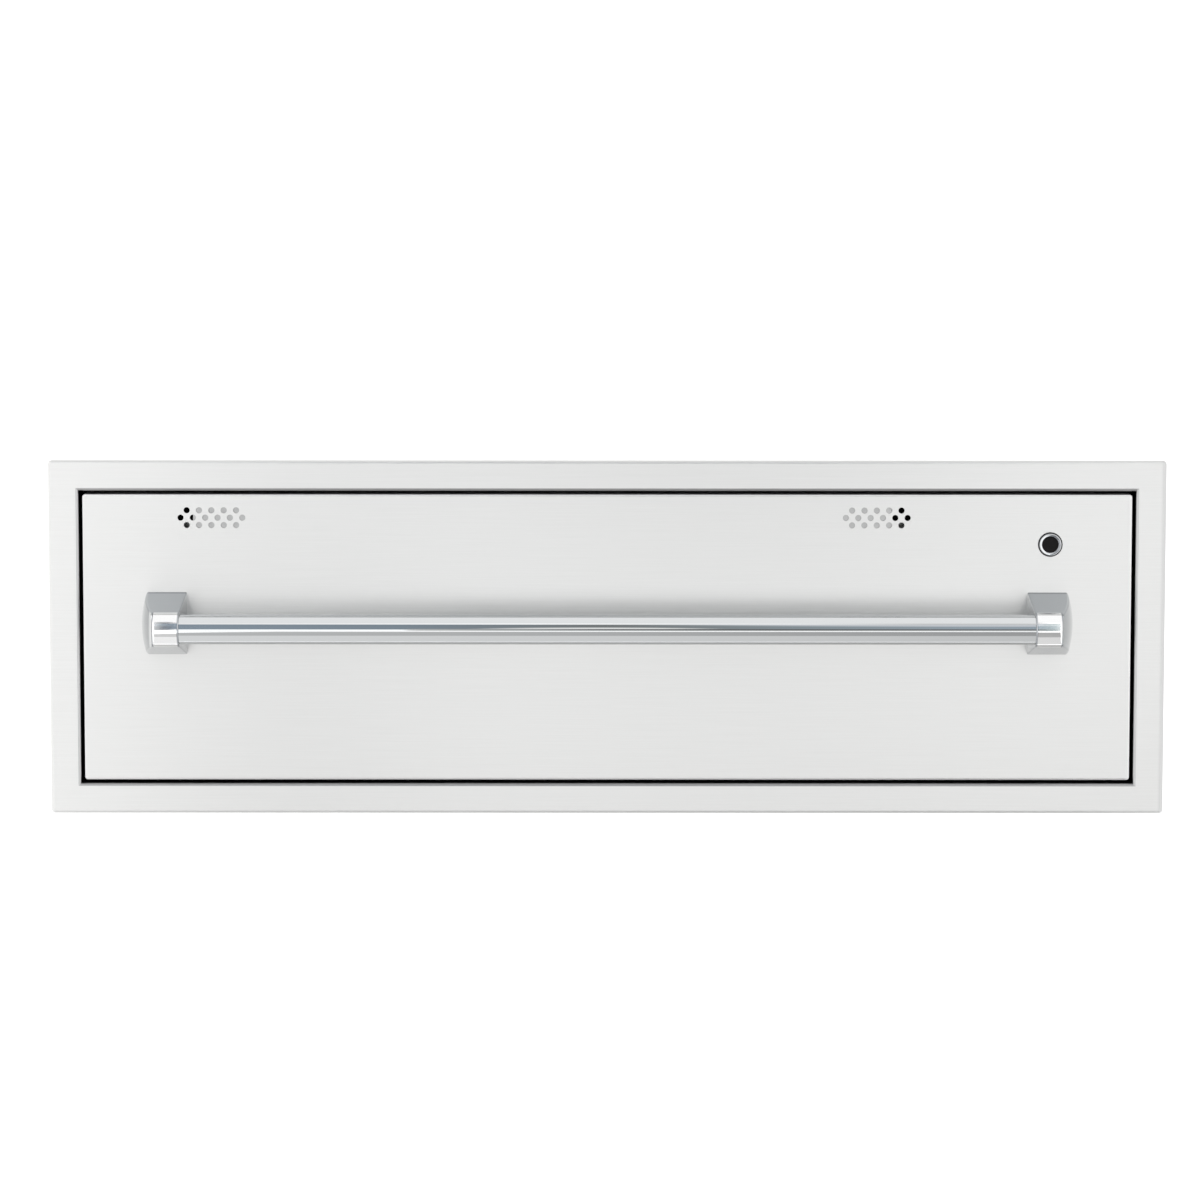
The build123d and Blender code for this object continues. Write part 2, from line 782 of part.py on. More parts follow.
# Screws through the inner panel: down both sides, along the bottom and beside the ducts
panel_screw_low = cavity_floor + panel_screw_above_floor
panel_screw_zs = (panel_screw_low, 0, -cavity_floor - panel_screw_below_ceiling)
panel_screw_bottom = cavity_floor + panel_screw_in_gasket
panel_screw_xs = [(k - 1.5) * front_screw_x / 2 for k in range(4)]
duct_side = guide_length / 2 + panel_screw_beside_duct
top_screw_xs = (left_slot_x - duct_side, left_slot_x + duct_side, right_slot_x - duct_side)
panel_screws_at = [(side * front_screw_x, z) for side in (-1, 1) for z in panel_screw_zs]
panel_screws_at += [(x, panel_screw_bottom) for x in panel_screw_xs]
panel_screws_at += [(x, -panel_screw_bottom) for x in top_screw_xs]

# Screws through the inner panel and the pan's front wall
pan_screw_x = pan_half_width - pan_screw_from_side
pan_screw_xs = [(k / 1.5 - 1) * pan_screw_x for k in range(4)]
pan_screw_zs = (pan_floor + pan_screw_above_floor, pan_top - pan_screw_below_top)
pan_screws_at = [(x, z) for x in pan_screw_xs for z in pan_screw_zs]

with BuildPart() as front_skin:
    with BuildSketch(at_depth(front_back)):
        RectangleRounded(front_width, front_height, front_corner)
    extrude(amount=front_depth)
    fillet(front_skin.faces().sort_by(Axis.Y)[0].edges(), front_bend)
    with BuildSketch(at_depth(front_back - front_sheet)):
        Rectangle(front_width - 2 * front_sheet, front_height - 2 * front_sheet)
    extrude(amount=front_depth - 2 * front_sheet, mode=Mode.SUBTRACT)
    with BuildSketch(at_depth(front_back)):
        Rectangle(front_width - 2 * front_lip, front_height - 2 * front_lip)
        for x in (left_slot_x, right_slot_x):
            with Locations((x, vent_z)):
                SlotOverall(slot_length + 2 * slot_notch_gap, slot_height + 2 * slot_notch_gap)
        with Locations((thermostat_x, thermostat_z)):
            Rectangle(thermostat_notch, thermostat_notch)
        with Locations(*panel_screws_at):
            Circle(screw_shank_radius + screw_fit)
    extrude(amount=front_sheet, mode=Mode.SUBTRACT)
    with BuildSketch(at_depth(front_inside)):
        for x in (left_vent_x, right_vent_x):
            with Locations((x, vent_z)):
                with GridLocations(vent_pitch, 0, vent_long_row, 1):
                    Circle(vent_hole_radius)
                with GridLocations(vent_pitch, 2 * vent_row_pitch, vent_long_row - 1, 2):
                    Circle(vent_hole_radius)
        with Locations((switch_x, switch_z)):
            Circle(barrel_radius + barrel_fit)
        for side in (-1, 1):
            with Locations((side * post_x, handle_z)):
                with GridLocations(0, handle_screw_spacing, 1, 2):
                    Circle(handle_screw_radius + handle_screw_fit)
    extrude(amount=front_sheet, mode=Mode.SUBTRACT)
save(front_skin, "front_skin")

bulb_z = vent_z - bulb_below_vents
bulb_start = thermostat_x - bulb_from_thermostat
capillary_end = thermostat_x - thermostat_side / 2 + capillary_inset

with BuildPart() as front_inner_panel:
    with BuildSketch(at_depth(panel_back)):
        RectangleRounded(inner_width, inner_height, front_corner)
        for x in (left_slot_x, right_slot_x):
            with Locations((x, vent_z)):
                SlotOverall(slot_length, slot_height, mode=Mode.SUBTRACT)
        with Locations((thermostat_x, thermostat_z)):
            Circle(shaft_radius + shaft_hole_gap, mode=Mode.SUBTRACT)
        with Locations((capillary_end, bulb_z)):
            Circle(capillary_radius + capillary_fit, mode=Mode.SUBTRACT)
        with Locations(*panel_screws_at, *pan_screws_at):
            Circle(screw_shank_radius + screw_fit, mode=Mode.SUBTRACT)
    extrude(amount=inner_panel_sheet)
save(front_inner_panel, "front_inner_panel")

# Gasket: a round-faced band on the inner panel that meets the liner's flange
gasket_back = liner_flange_front - gasket_squeeze_gap
gasket_inner_width = cavity_width + 2 * gasket_from_cavity
gasket_inner_height = cavity_height + 2 * gasket_from_cavity

with BuildPart() as front_gasket:
    with BuildSketch(at_depth(gasket_back)):
        RectangleRounded(
            gasket_inner_width + 2 * gasket_width,
            gasket_inner_height + 2 * gasket_width,
            gasket_width + gasket_corner,
        )
        RectangleRounded(
            gasket_inner_width, gasket_inner_height, gasket_corner, mode=Mode.SUBTRACT
        )
    extrude(amount=gasket_back - panel_back)
    fillet(front_gasket.faces().sort_by(Axis.Y)[-1].edges(), gasket_round)
save(front_gasket, "front_gasket")

front_wool_width = front_width - 2 * (front_lip + front_wool_gap)
front_wool_half = front_height / 2 - front_lip - front_wool_gap
front_wool_step = vent_z - front_wool_below_vents

with BuildPart() as front_insulation:
    with BuildSketch(at_depth(front_wool_back)):
        with Locations((0, (front_wool_step - front_wool_half) / 2)):
            Rectangle(front_wool_width, front_wool_step + front_wool_half)
        with Locations(((left_slot_x + right_slot_x) / 2, (front_wool_step + front_wool_half) / 2)):
            Rectangle(
                right_slot_x - left_slot_x - guide_length - 2 * front_wool_beside_duct,
                front_wool_half - front_wool_step,
            )
        for side in (-1, 1):
            with Locations((side * post_x, handle_z)):
                Rectangle(
                    backing_size + 2 * backing_clear,
                    backing_size + 2 * backing_clear,
                    mode=Mode.SUBTRACT,
                )
    extrude(amount=front_wool_back - front_inside)
save(front_insulation, "front_insulation")


def vent_guide(slot_x):
    """Rails that hold a damper against the skin, and the duct round it to the inner panel."""
    inner_height = damper_height + 2 * damper_clearance
    rail_front = front_inside + damper_sheet + 2 * damper_clearance
    rail_back = rail_front + guide_sheet
    duct_back = front_back - front_sheet
    with BuildPart() as one:
        with BuildSketch(at_depth(duct_back)):
            with Locations((slot_x, vent_z)):
                Rectangle(guide_length + 2 * guide_rail, inner_height + 2 * guide_rail)
        extrude(amount=duct_back - front_inside)
        with BuildSketch(at_depth(duct_back)):
            with Locations((slot_x, vent_z)):
                Rectangle(
                    guide_length + 2 * (guide_rail - vent_sleeve_sheet),
                    inner_height + 2 * (guide_rail - vent_sleeve_sheet),
                )
        extrude(amount=duct_back - rail_back, mode=Mode.SUBTRACT)
        with BuildSketch(at_depth(rail_back)):
            with Locations((slot_x, vent_z)):
                Rectangle(guide_length - 2 * guide_overlap, inner_height - 2 * guide_overlap)
        extrude(amount=guide_sheet, mode=Mode.SUBTRACT)
        with BuildSketch(at_depth(rail_front)):
            with Locations((slot_x, vent_z)):
                Rectangle(guide_length, inner_height)
        extrude(amount=rail_front - front_inside, mode=Mode.SUBTRACT)
    return one.part


with BuildPart() as vent_duct_left:
    add(vent_guide(left_slot_x))
save(vent_duct_left, "vent_duct_left")

with BuildPart() as vent_duct_right:
    add(vent_guide(right_slot_x))
save(vent_duct_right, "vent_duct_right")

damper_front = front_inside + damper_clearance
damper_knob_back = panel_back + damper_knob_stand_off + damper_knob_length
stem_end = damper_knob_back - damper_stem_short


def damper_plate(x):
    with BuildPart() as one:
        with BuildSketch(at_depth(damper_front + damper_sheet)):
            with Locations((x, vent_z)):
                Rectangle(damper_length, damper_height)
        extrude(amount=damper_sheet)
        with BuildSketch(at_depth(stem_end)):
            with Locations((x, vent_z)):
                Circle(damper_stem_radius)
        extrude(amount=stem_end - damper_front - damper_sheet)
    return one.part


def damper_grip(x):
    with BuildPart() as one:
        with BuildSketch(at_depth(damper_knob_back)):
            with Locations((x, vent_z)):
                Circle(damper_knob_radius)
        extrude(amount=damper_knob_length)
        chamfer(one.faces().sort_by(Axis.Y)[-1].edges(), damper_knob_bevel)
        with BuildSketch(at_depth(stem_end)):
            with Locations((x, vent_z)):
                Circle(damper_stem_radius)
        extrude(amount=damper_knob_length, mode=Mode.SUBTRACT)
    return one.part


with BuildPart() as damper_left:
    add(damper_plate(left_damper_x))
save(damper_left, "damper_left")

with BuildPart() as damper_right:
    add(damper_plate(right_damper_x))
save(damper_right, "damper_right")

with BuildPart() as damper_knob_left:
    add(damper_grip(left_damper_x))
save(damper_knob_left, "damper_knob_left")

with BuildPart() as damper_knob_right:
    add(damper_grip(right_damper_x))
save(damper_knob_right, "damper_knob_right")

# ---- Power switch ----

bezel_front = front_face - bezel_proud
barrel_back = front_face + barrel_length
button_front = bezel_front + button_recess
button_bore = button_radius + button_clearance

with BuildPart() as switch_bezel:
    with BuildSketch(at_depth(front_face)):
        with Locations((switch_x, switch_z)):
            Circle(bezel_radius)
    extrude(amount=bezel_proud)
    chamfer(switch_bezel.faces().sort_by(Axis.Y)[0].edges(), bezel_bevel)
    with BuildSketch(at_depth(barrel_back)):
        with Locations((switch_x, switch_z)):
            Circle(barrel_radius)
    extrude(amount=barrel_length)
    with BuildSketch(at_depth(barrel_back)):
        with Locations((switch_x, switch_z)):
            Circle(button_bore)
    extrude(amount=barrel_length + bezel_proud, mode=Mode.SUBTRACT)
save(switch_bezel, "switch_bezel")

with BuildPart() as switch_nut:
    with BuildSketch(at_depth(front_inside + switch_nut_thickness)):
        with Locations((switch_x, switch_z)):
            RegularPolygon(switch_nut_width / 2, 6, major_radius=False)
            Circle(barrel_radius + switch_nut_fit, mode=Mode.SUBTRACT)
    extrude(amount=switch_nut_thickness)
save(switch_nut, "switch_nut")

with BuildPart() as switch_body:
    with BuildSketch(at_depth(barrel_back + switch_body_depth)):
        with Locations((switch_x, switch_z)):
            RectangleRounded(switch_body_side, switch_body_side, switch_body_corner)
    extrude(amount=switch_body_depth)
save(switch_body, "switch_body")

with BuildPart() as switch_button:
    with BuildSketch(at_depth(button_front + button_length)):
        with Locations((switch_x, switch_z)):
            Circle(button_radius)
    extrude(amount=button_length)
    fillet(switch_button.faces().sort_by(Axis.Y)[0].edges(), button_edge)
save(switch_button, "switch_button")

# ---- Thermostat, set from inside the open drawer ----

with BuildPart() as thermostat_body:
    with BuildSketch(at_depth(front_back)):
        with Locations((thermostat_x, thermostat_z)):
            Rectangle(thermostat_side, thermostat_side)
    extrude(amount=thermostat_depth)
    with BuildSketch(at_depth(front_back)):
        with Locations((thermostat_x, thermostat_z)):
            Circle(shaft_radius + shaft_fit)
    extrude(amount=shaft_socket, mode=Mode.SUBTRACT)
    with BuildSketch(at_depth(front_back)):
        with Locations((capillary_end, bulb_z)):
            Circle(capillary_radius + capillary_fit)
    extrude(amount=capillary_socket, mode=Mode.SUBTRACT)
save(thermostat_body, "thermostat_body")

dial_back = panel_back + dial_sheet
knob_front = dial_back + knob_gap
shaft_front = front_back - shaft_socket + shaft_end_gap
shaft_back = knob_front + shaft_in_knob

with BuildPart() as thermostat_dial:
    with BuildSketch(at_depth(dial_back)):
        with Locations((thermostat_x, thermostat_z)):
            Circle(dial_radius)
            Circle(shaft_radius + dial_hole_gap, mode=Mode.SUBTRACT)
    extrude(amount=dial_sheet)
save(thermostat_dial, "thermostat_dial")

with BuildPart() as thermostat_shaft:
    with BuildSketch(at_depth(shaft_back)):
        with Locations((thermostat_x, thermostat_z)):
            Circle(shaft_radius)
    extrude(amount=shaft_back - shaft_front)
save(thermostat_shaft, "thermostat_shaft")

with BuildPart() as thermostat_knob:
    with BuildSketch(at_depth(knob_front + knob_skirt)):
        with Locations((thermostat_x, thermostat_z)):
            Circle(knob_skirt_radius)
    extrude(amount=knob_skirt)
    with BuildSketch(at_depth(knob_front + knob_height)):
        with Locations((thermostat_x, thermostat_z)):
            Circle(knob_grip_radius)
    extrude(amount=knob_height - knob_skirt)
    chamfer(thermostat_knob.faces().sort_by(Axis.Y)[-1].edges(), knob_bevel)
    with BuildSketch(at_depth(knob_front + knob_height)):
        with Locations((thermostat_x, thermostat_z + knob_grip_radius - pointer_length / 2)):
            Rectangle(pointer_width, pointer_length)
    extrude(amount=pointer_depth, mode=Mode.SUBTRACT)
    with BuildSketch(at_depth(shaft_back)):
        with Locations((thermostat_x, thermostat_z)):
            Circle(shaft_radius)
    extrude(amount=shaft_back - knob_front, mode=Mode.SUBTRACT)
save(thermostat_knob, "thermostat_knob")

bulb_y = panel_back + bulb_radius + bulb_stand_off
bulb_end = bulb_start + bulb_length

with BuildPart() as sensor_bulb:
    with BuildSketch(Plane.YZ.offset(bulb_start)):
        with Locations((bulb_y, bulb_z)):
            Circle(bulb_radius)
    extrude(amount=bulb_length)
    with BuildLine() as capillary_path:
        FilletPolyline(
            (bulb_end - capillary_bite, bulb_y, bulb_z),
            (capillary_end, bulb_y, bulb_z),
            (capillary_end, front_back - capillary_socket + capillary_end_gap, bulb_z),
            radius=capillary_bend,
        )
    with BuildSketch(Plane(origin=capillary_path.line @ 0, z_dir=capillary_path.line % 0)):
        Circle(capillary_radius)
    sweep()
save(sensor_bulb, "sensor_bulb")

with BuildPart() as bulb_clips:
    for x in (bulb_start + bulb_clip_margin, bulb_end - bulb_clip_margin - bulb_clip_width):
        with BuildSketch(Plane.YZ.offset(x)):
            with Locations((bulb_y, bulb_z)):
                Circle(bulb_radius + bulb_clip_wall)
            with Locations(((panel_back + bulb_y) / 2, bulb_z)):
                Rectangle(bulb_y - panel_back, 2 * (bulb_radius + bulb_clip_wall))
            with Locations((bulb_y, bulb_z)):
                Circle(bulb_radius, mode=Mode.SUBTRACT)
            with Locations((bulb_y + bulb_radius, bulb_z)):
                Rectangle(2 * bulb_radius, bulb_clip_mouth, mode=Mode.SUBTRACT)
        extrude(amount=bulb_clip_width)
save(bulb_clips, "bulb_clips")

# ---- Handle: a tube between two tapered ends with round noses ----

post_nose_y = handle_y - nose_radius
post_inner = -post_inner_face
post_outer = post_inner - post_base_width
post_half = post_base_height / 2
post_tip_y = post_nose_y - cut_overrun
post_tip_inner = post_inner - post_inner_draft
post_tip_outer = post_tip_inner - post_nose_width
top_slope = math.acos(nose_radius / math.hypot(handle_standoff, post_half))
top_slope -= math.atan2(handle_standoff, post_half)
tangent_y = handle_y - nose_radius * math.sin(top_slope)
tangent_z = nose_radius * math.cos(top_slope)
post_turn_radius = (post_half**2 + post_side_bulge**2) / (2 * post_side_bulge)
post_axis = post_outer + post_turn_radius
bar_end = post_inner_face + bar_seat
bar_half_length = bar_end - 2 * bar_fit

# The outer side is turned round an axis behind the post, so it bulges both up and along.
with BuildPart() as handle_post_left:
    with BuildSketch(Plane.YZ.offset(post_outer)):
        with BuildLine():
            Polyline(
                (tangent_y, handle_z + tangent_z),
                (front_face, handle_z + post_half),
                (front_face, handle_z - post_half),
                (tangent_y, handle_z - tangent_z),
            )
            ThreePointArc(
                (tangent_y, handle_z - tangent_z),
                (post_nose_y, handle_z),
                (tangent_y, handle_z + tangent_z),
            )
        make_face()
    extrude(amount=post_base_width)
    with BuildSketch(Plane.XY.offset(handle_z)):
        with BuildLine():
            Polyline(
                (post_outer, front_face),
                (post_axis, front_face),
                (post_axis, post_tip_y),
                (post_tip_outer, post_tip_y),
            )
            ThreePointArc(
                (post_tip_outer, post_tip_y),
                (post_inner - post_middle_width, (front_face + post_nose_y) / 2),
                (post_outer, front_face),
            )
        make_face()
    revolve(axis=Axis((post_axis, 0, handle_z), (0, 1, 0)), mode=Mode.INTERSECT)
    with BuildSketch(Plane.XY.offset(handle_z - post_half)):
        with BuildLine():
            Polyline(
                (post_outer - cut_overrun, front_face),
                (post_inner, front_face),
                (post_tip_inner, post_tip_y),
                (post_outer - cut_overrun, post_tip_y),
                close=True,
            )
        make_face()
    extrude(amount=post_base_height, mode=Mode.INTERSECT)
    across_slope = handle_post_left.edges().filter_by(Axis.X)
    raised = handle_post_left.edges() - across_slope
    raised = raised.filter_by(lambda e: e.center().Y < front_face - post_edge)
    inner_edges = raised.filter_by(lambda e: e.center().X > post_inner - 2 * post_inner_draft)
    fillet(raised - inner_edges, post_outer_edge)
    inner_edges = handle_post_left.faces().sort_by(Axis.X)[-1].edges()
    fillet(inner_edges.filter_by(lambda e: e.center().Y < front_face - post_edge), post_edge)
    with BuildSketch(Plane.YZ.offset(-bar_end)):
        with Locations((handle_y, handle_z)):
            Circle(bar_radius + bar_fit)
    extrude(amount=2 * bar_seat, mode=Mode.SUBTRACT)
    with BuildSketch(at_depth(front_face)):
        with Locations((-post_x, handle_z)):
            with GridLocations(0, handle_screw_spacing, 1, 2):
                Circle(handle_screw_radius + handle_screw_fit)
    extrude(amount=handle_screw_bite + handle_screw_run_out, mode=Mode.SUBTRACT)
save(handle_post_left, "handle_post_left")

with BuildPart() as handle_post_right:
    add(mirror(handle_post_left.part, about=Plane.YZ))
save(handle_post_right, "handle_post_right")

with BuildPart() as handle_bar:
    with BuildSketch(Plane.YZ.offset(-bar_half_length)):
        with Locations((handle_y, handle_z)):
            Circle(bar_radius)
            Circle(bar_radius - bar_wall, mode=Mode.SUBTRACT)
    extrude(amount=2 * bar_half_length)
save(handle_bar, "handle_bar")

backing_back = front_inside + backing_thickness

with BuildPart() as handle_backings:
    for side in (-1, 1):
        with BuildSketch(at_depth(backing_back)):
            with Locations((side * post_x, handle_z)):
                RectangleRounded(backing_size, backing_size, backing_corner)
                with GridLocations(0, handle_screw_spacing, 1, 2):
                    Circle(handle_screw_radius + handle_screw_fit, mode=Mode.SUBTRACT)
        extrude(amount=backing_thickness)
save(handle_backings, "handle_backings")

with BuildPart() as handle_screws:
    for side in (-1, 1):
        with BuildSketch(at_depth(backing_back + handle_screw_head)):
            with Locations((side * post_x, handle_z)):
                with GridLocations(0, handle_screw_spacing, 1, 2):
                    Circle(handle_screw_head_radius)
        extrude(amount=handle_screw_head)
        with BuildSketch(at_depth(backing_back)):
            with Locations((side * post_x, handle_z)):
                with GridLocations(0, handle_screw_spacing, 1, 2):
                    Circle(handle_screw_radius)
        extrude(amount=backing_thickness + front_sheet + handle_screw_bite)
save(handle_screws, "handle_screws")

# ---- Drawer pan and rack ----

pan_middle_y = (panel_back + pan_back) / 2

with BuildPart() as drawer_pan:
    with BuildSketch(Plane.XY.offset(pan_floor)):
        with Locations((0, pan_middle_y)):
            RectangleRounded(2 * pan_half_width, pan_depth, pan_corner)
    extrude(amount=pan_height)
    fillet(drawer_pan.faces().sort_by(Axis.Z)[0].edges(), pan_floor_bend)
    offset(amount=-pan_sheet, openings=drawer_pan.faces().sort_by(Axis.Z)[-1])
    with BuildSketch(Plane.XY.offset(pan_top - pan_sheet)):
        with Locations((0, pan_middle_y)):
            RectangleRounded(
                2 * (pan_half_width + pan_rim),
                pan_depth + 2 * pan_rim,
                pan_corner + pan_rim,
            )
            RectangleRounded(
                2 * (pan_half_width - pan_sheet),
                pan_depth - 2 * pan_sheet,
                pan_corner - pan_sheet,
                mode=Mode.SUBTRACT,
            )
    extrude(amount=pan_sheet)
    with BuildSketch(Plane.XY.offset(pan_top - pan_rim_roll)):
        with Locations((0, pan_middle_y)):
            RectangleRounded(
                2 * (pan_half_width + pan_rim),
                pan_depth + 2 * pan_rim,
                pan_corner + pan_rim,
            )
            RectangleRounded(
                2 * (pan_half_width + pan_rim - pan_sheet),
                pan_depth + 2 * (pan_rim - pan_sheet),
                pan_corner + pan_rim - pan_sheet,
                mode=Mode.SUBTRACT,
            )
    extrude(amount=pan_rim_roll)
    with BuildSketch(Plane.XY.offset(pan_top - pan_rim_roll)):
        with Locations((0, panel_back - pan_rim)):
            Rectangle(2 * (pan_half_width + pan_rim), 2 * pan_rim)
    extrude(amount=pan_rim_roll, mode=Mode.SUBTRACT)
    with BuildSketch(Plane.YZ.offset(-pan_half_width)):
        for y in slide_rivet_ys:
            with Locations((y, slide_z)):
                Circle(screw_shank_radius + screw_fit)
    extrude(amount=2 * pan_half_width, mode=Mode.SUBTRACT)
    with BuildSketch(at_depth(panel_back + pan_sheet)):
        with Locations(*pan_screws_at):
            Circle(screw_shank_radius + screw_fit)
    extrude(amount=pan_sheet, mode=Mode.SUBTRACT)
    # Open seams between the floor and the four walls, which are spot-welded at their ends
    with BuildSketch(Plane.XY.offset(pan_floor)):
        with Locations((0, pan_middle_y)):
            with GridLocations(2 * pan_half_width - 2 * pan_sheet - pan_seam, 0, 2, 1):
                Rectangle(pan_seam, pan_depth + 2 * pan_rim)
            with GridLocations(0, pan_depth - 2 * pan_sheet - pan_seam, 1, 2):
                Rectangle(2 * (pan_half_width - pan_sheet), pan_seam)
    extrude(amount=pan_height, mode=Mode.SUBTRACT)
save(drawer_pan, "drawer_pan")

with BuildPart() as front_screws:
    for x, z in panel_screws_at:
        head = Plane(origin=(x, panel_back, z), z_dir=(0, 1, 0))
        add(screw(head, length=front_screw_length))
    for x, z in pan_screws_at:
        head = Plane(origin=(x, panel_back + pan_sheet, z), z_dir=(0, 1, 0))
        add(screw(head, length=front_screw_length))
save(front_screws, "front_screws")

rack_half_width = pan_half_width - pan_sheet - rack_side_clearance
rack_front = panel_back + pan_sheet + rack_side_clearance
rack_back = pan_back - pan_sheet - rack_side_clearance
rack_z = pan_floor + pan_sheet + rack_leg_height + rack_rod_radius
wire_z = rack_z + rack_rod_radius + rack_wire_radius - weld_bite
rack_middle_y = (rack_front + rack_back) / 2
rack_wire_pitch = (rack_back - rack_front - 2 * rack_wire_margin) / (rack_wire_count - 1)

with BuildPart() as wire_rack:
    with BuildLine() as rack_path:
        FilletPolyline(
            (rack_half_width, rack_front, rack_z),
            (rack_half_width, rack_back, rack_z),
            (-rack_half_width, rack_back, rack_z),
            (-rack_half_width, rack_front, rack_z),
            radius=rack_bend,
            close=True,
        )
    with BuildSketch(Plane(origin=rack_path.line @ 0, z_dir=rack_path.line % 0)):
        Circle(rack_rod_radius)
    sweep()
    with BuildSketch(at_depth(rack_back)):
        with Locations((0, rack_z)):
            with GridLocations(2 * rack_half_width / rack_bays, 0, rack_bays - 1, 1):
                Circle(rack_rod_radius)
    extrude(amount=rack_back - rack_front)
    for side in (-1, 1):
        for y in (rack_front + rack_leg_margin, rack_back - rack_leg_margin):
            with BuildSketch(Plane.XY.offset(pan_floor + pan_sheet)):
                with Locations((side * rack_half_width, y)):
                    Circle(rack_rod_radius)
            extrude(amount=rack_leg_height + rack_rod_radius)
    with BuildSketch(Plane.YZ.offset(-rack_half_width)):
        with Locations((rack_middle_y, wire_z)):
            with GridLocations(rack_wire_pitch, 0, rack_wire_count, 1):
                Circle(rack_wire_radius)
    extrude(amount=2 * rack_half_width)
save(wire_rack, "wire_rack")

# ---- Telescopic slides: three nested channels and two caged rows of balls a side ----

slide_back = slide_front + slide_length
cage_front = slide_front + cage_behind_slide_front


def from_wall(distance):
    """The x of a point this far inwards from the right wall of the cavity."""
    return cavity_wall - distance


def channel(web, lips, heights, races):
    """A right-hand slide member: a web and two lips, each given as from and to off the wall."""
    low, high = heights
    with BuildPart() as one:
        with BuildSketch(at_depth(slide_back)):
            with Locations((from_wall(sum(web) / 2), slide_z)):
                Rectangle(web[1] - web[0], 2 * high)
            for up in (-1, 1):
                with Locations((from_wall(sum(lips) / 2), slide_z + up * (low + high) / 2)):
                    Rectangle(lips[1] - lips[0], high - low)
                for z in races:
                    with Locations((from_wall(ball_from_wall), slide_z + up * z)):
                        Circle(race_radius, mode=Mode.SUBTRACT)
        extrude(amount=slide_length)
    return one.part


def rivets(under_head, side, length, head):
    with BuildPart() as some:
        for y in slide_rivet_ys:
            plane = Plane(origin=(under_head, y, slide_z), z_dir=(side, 0, 0))
            add(screw(plane, length=length, head=head))
    return some.part


def drill(distance):
    with BuildPart() as holes:
        with BuildSketch(Plane.YZ.offset(from_wall(distance))):
            for y in slide_rivet_ys:
                with Locations((y, slide_z)):
                    Circle(screw_shank_radius + screw_fit)
        extrude(amount=slide_web)
    return holes.part


with BuildPart() as slide_outer_right:
    add(channel((0, slide_web), (0, lip_reach), (outer_lip_bottom, outer_lip_top), (outer_ball_z,)))
    add(drill(slide_web), mode=Mode.SUBTRACT)
save(slide_outer_right, "slide_outer_right")

with BuildPart() as slide_outer_left:
    add(mirror(slide_outer_right.part, about=Plane.YZ))
save(slide_outer_left, "slide_outer_left")

with BuildPart() as slide_middle_right:
    add(
        channel(
            (middle_web_from_wall, middle_web_from_wall + slide_web),
            (middle_web_from_wall, lip_reach),
            (middle_lip_bottom, middle_lip_top),
            (outer_ball_z, inner_ball_z),
        )
    )
save(slide_middle_right, "slide_middle_right")

with BuildPart() as slide_middle_left:
    add(mirror(slide_middle_right.part, about=Plane.YZ))
save(slide_middle_left, "slide_middle_left")

with BuildPart() as slide_drawer_right:
    add(
        channel(
            (slide_thickness - slide_web, slide_thickness),
            (drawer_lip_from_wall, slide_thickness),
            (drawer_lip_bottom, drawer_lip_top),
            (inner_ball_z,),
        )
    )
    add(drill(slide_thickness), mode=Mode.SUBTRACT)
save(slide_drawer_right, "slide_drawer_right")

with BuildPart() as slide_drawer_left:
    add(mirror(slide_drawer_right.part, about=Plane.YZ))
save(slide_drawer_left, "slide_drawer_left")

ball_pitch = (cage_length - 2 * cage_hole_margin) / (balls_per_row - 1)
ball_ys = [cage_front + cage_hole_margin + k * ball_pitch for k in range(balls_per_row)]


def cage(web_start, ball_z):
    """A ball cage: a strip folded round the web side, with a row of holes in each leg."""
    leg_end = ball_from_wall + cage_leg
    with BuildPart() as one:
        with BuildSketch(at_depth(cage_front + cage_length)):
            with Locations((from_wall(web_start + cage_sheet / 2), slide_z)):
                Rectangle(cage_sheet, 2 * ball_z + cage_sheet)
            for up in (-1, 1):
                with Locations((from_wall((web_start + leg_end) / 2), slide_z + up * ball_z)):
                    Rectangle(leg_end - web_start, cage_sheet)
        extrude(amount=cage_length)
        with BuildSketch(Plane.XY.offset(slide_z - ball_z - cage_sheet)):
            with Locations(*[(from_wall(ball_from_wall), y) for y in ball_ys]):
                Circle(cage_hole_radius)
        extrude(amount=2 * (ball_z + cage_sheet), mode=Mode.SUBTRACT)
    return one.part


def balls(ball_z):
    row_x = from_wall(ball_from_wall)
    with BuildPart() as some:
        for z in (slide_z - ball_z, slide_z + ball_z):
            with Locations(*[(row_x, y, z) for y in ball_ys]):
                Sphere(ball_radius)
    return some.part


with BuildPart() as cage_outer_right:
    add(cage(outer_cage_web_from_wall, outer_ball_z))
save(cage_outer_right, "cage_outer_right")

with BuildPart() as cage_outer_left:
    add(mirror(cage_outer_right.part, about=Plane.YZ))
save(cage_outer_left, "cage_outer_left")

with BuildPart() as cage_inner_right:
    add(cage(inner_cage_web_from_wall, inner_ball_z))
save(cage_inner_right, "cage_inner_right")

with BuildPart() as cage_inner_left:
    add(mirror(cage_inner_right.part, about=Plane.YZ))
save(cage_inner_left, "cage_inner_left")

with BuildPart() as balls_outer_right:
    add(balls(outer_ball_z))
save(balls_outer_right, "balls_outer_right")

with BuildPart() as balls_outer_left:
    add(mirror(balls_outer_right.part, about=Plane.YZ))
save(balls_outer_left, "balls_outer_left")

with BuildPart() as balls_inner_right:
    add(balls(inner_ball_z))
save(balls_inner_right, "balls_inner_right")

with BuildPart() as balls_inner_left:
    add(mirror(balls_inner_right.part, about=Plane.YZ))
save(balls_inner_left, "balls_inner_left")

with BuildPart() as slide_rivets:
    for side in (-1, 1):
        add(rivets(side * from_wall(slide_web), -side, slide_web + liner_sheet, slide_rivet_head))
save(slide_rivets, "slide_rivets")

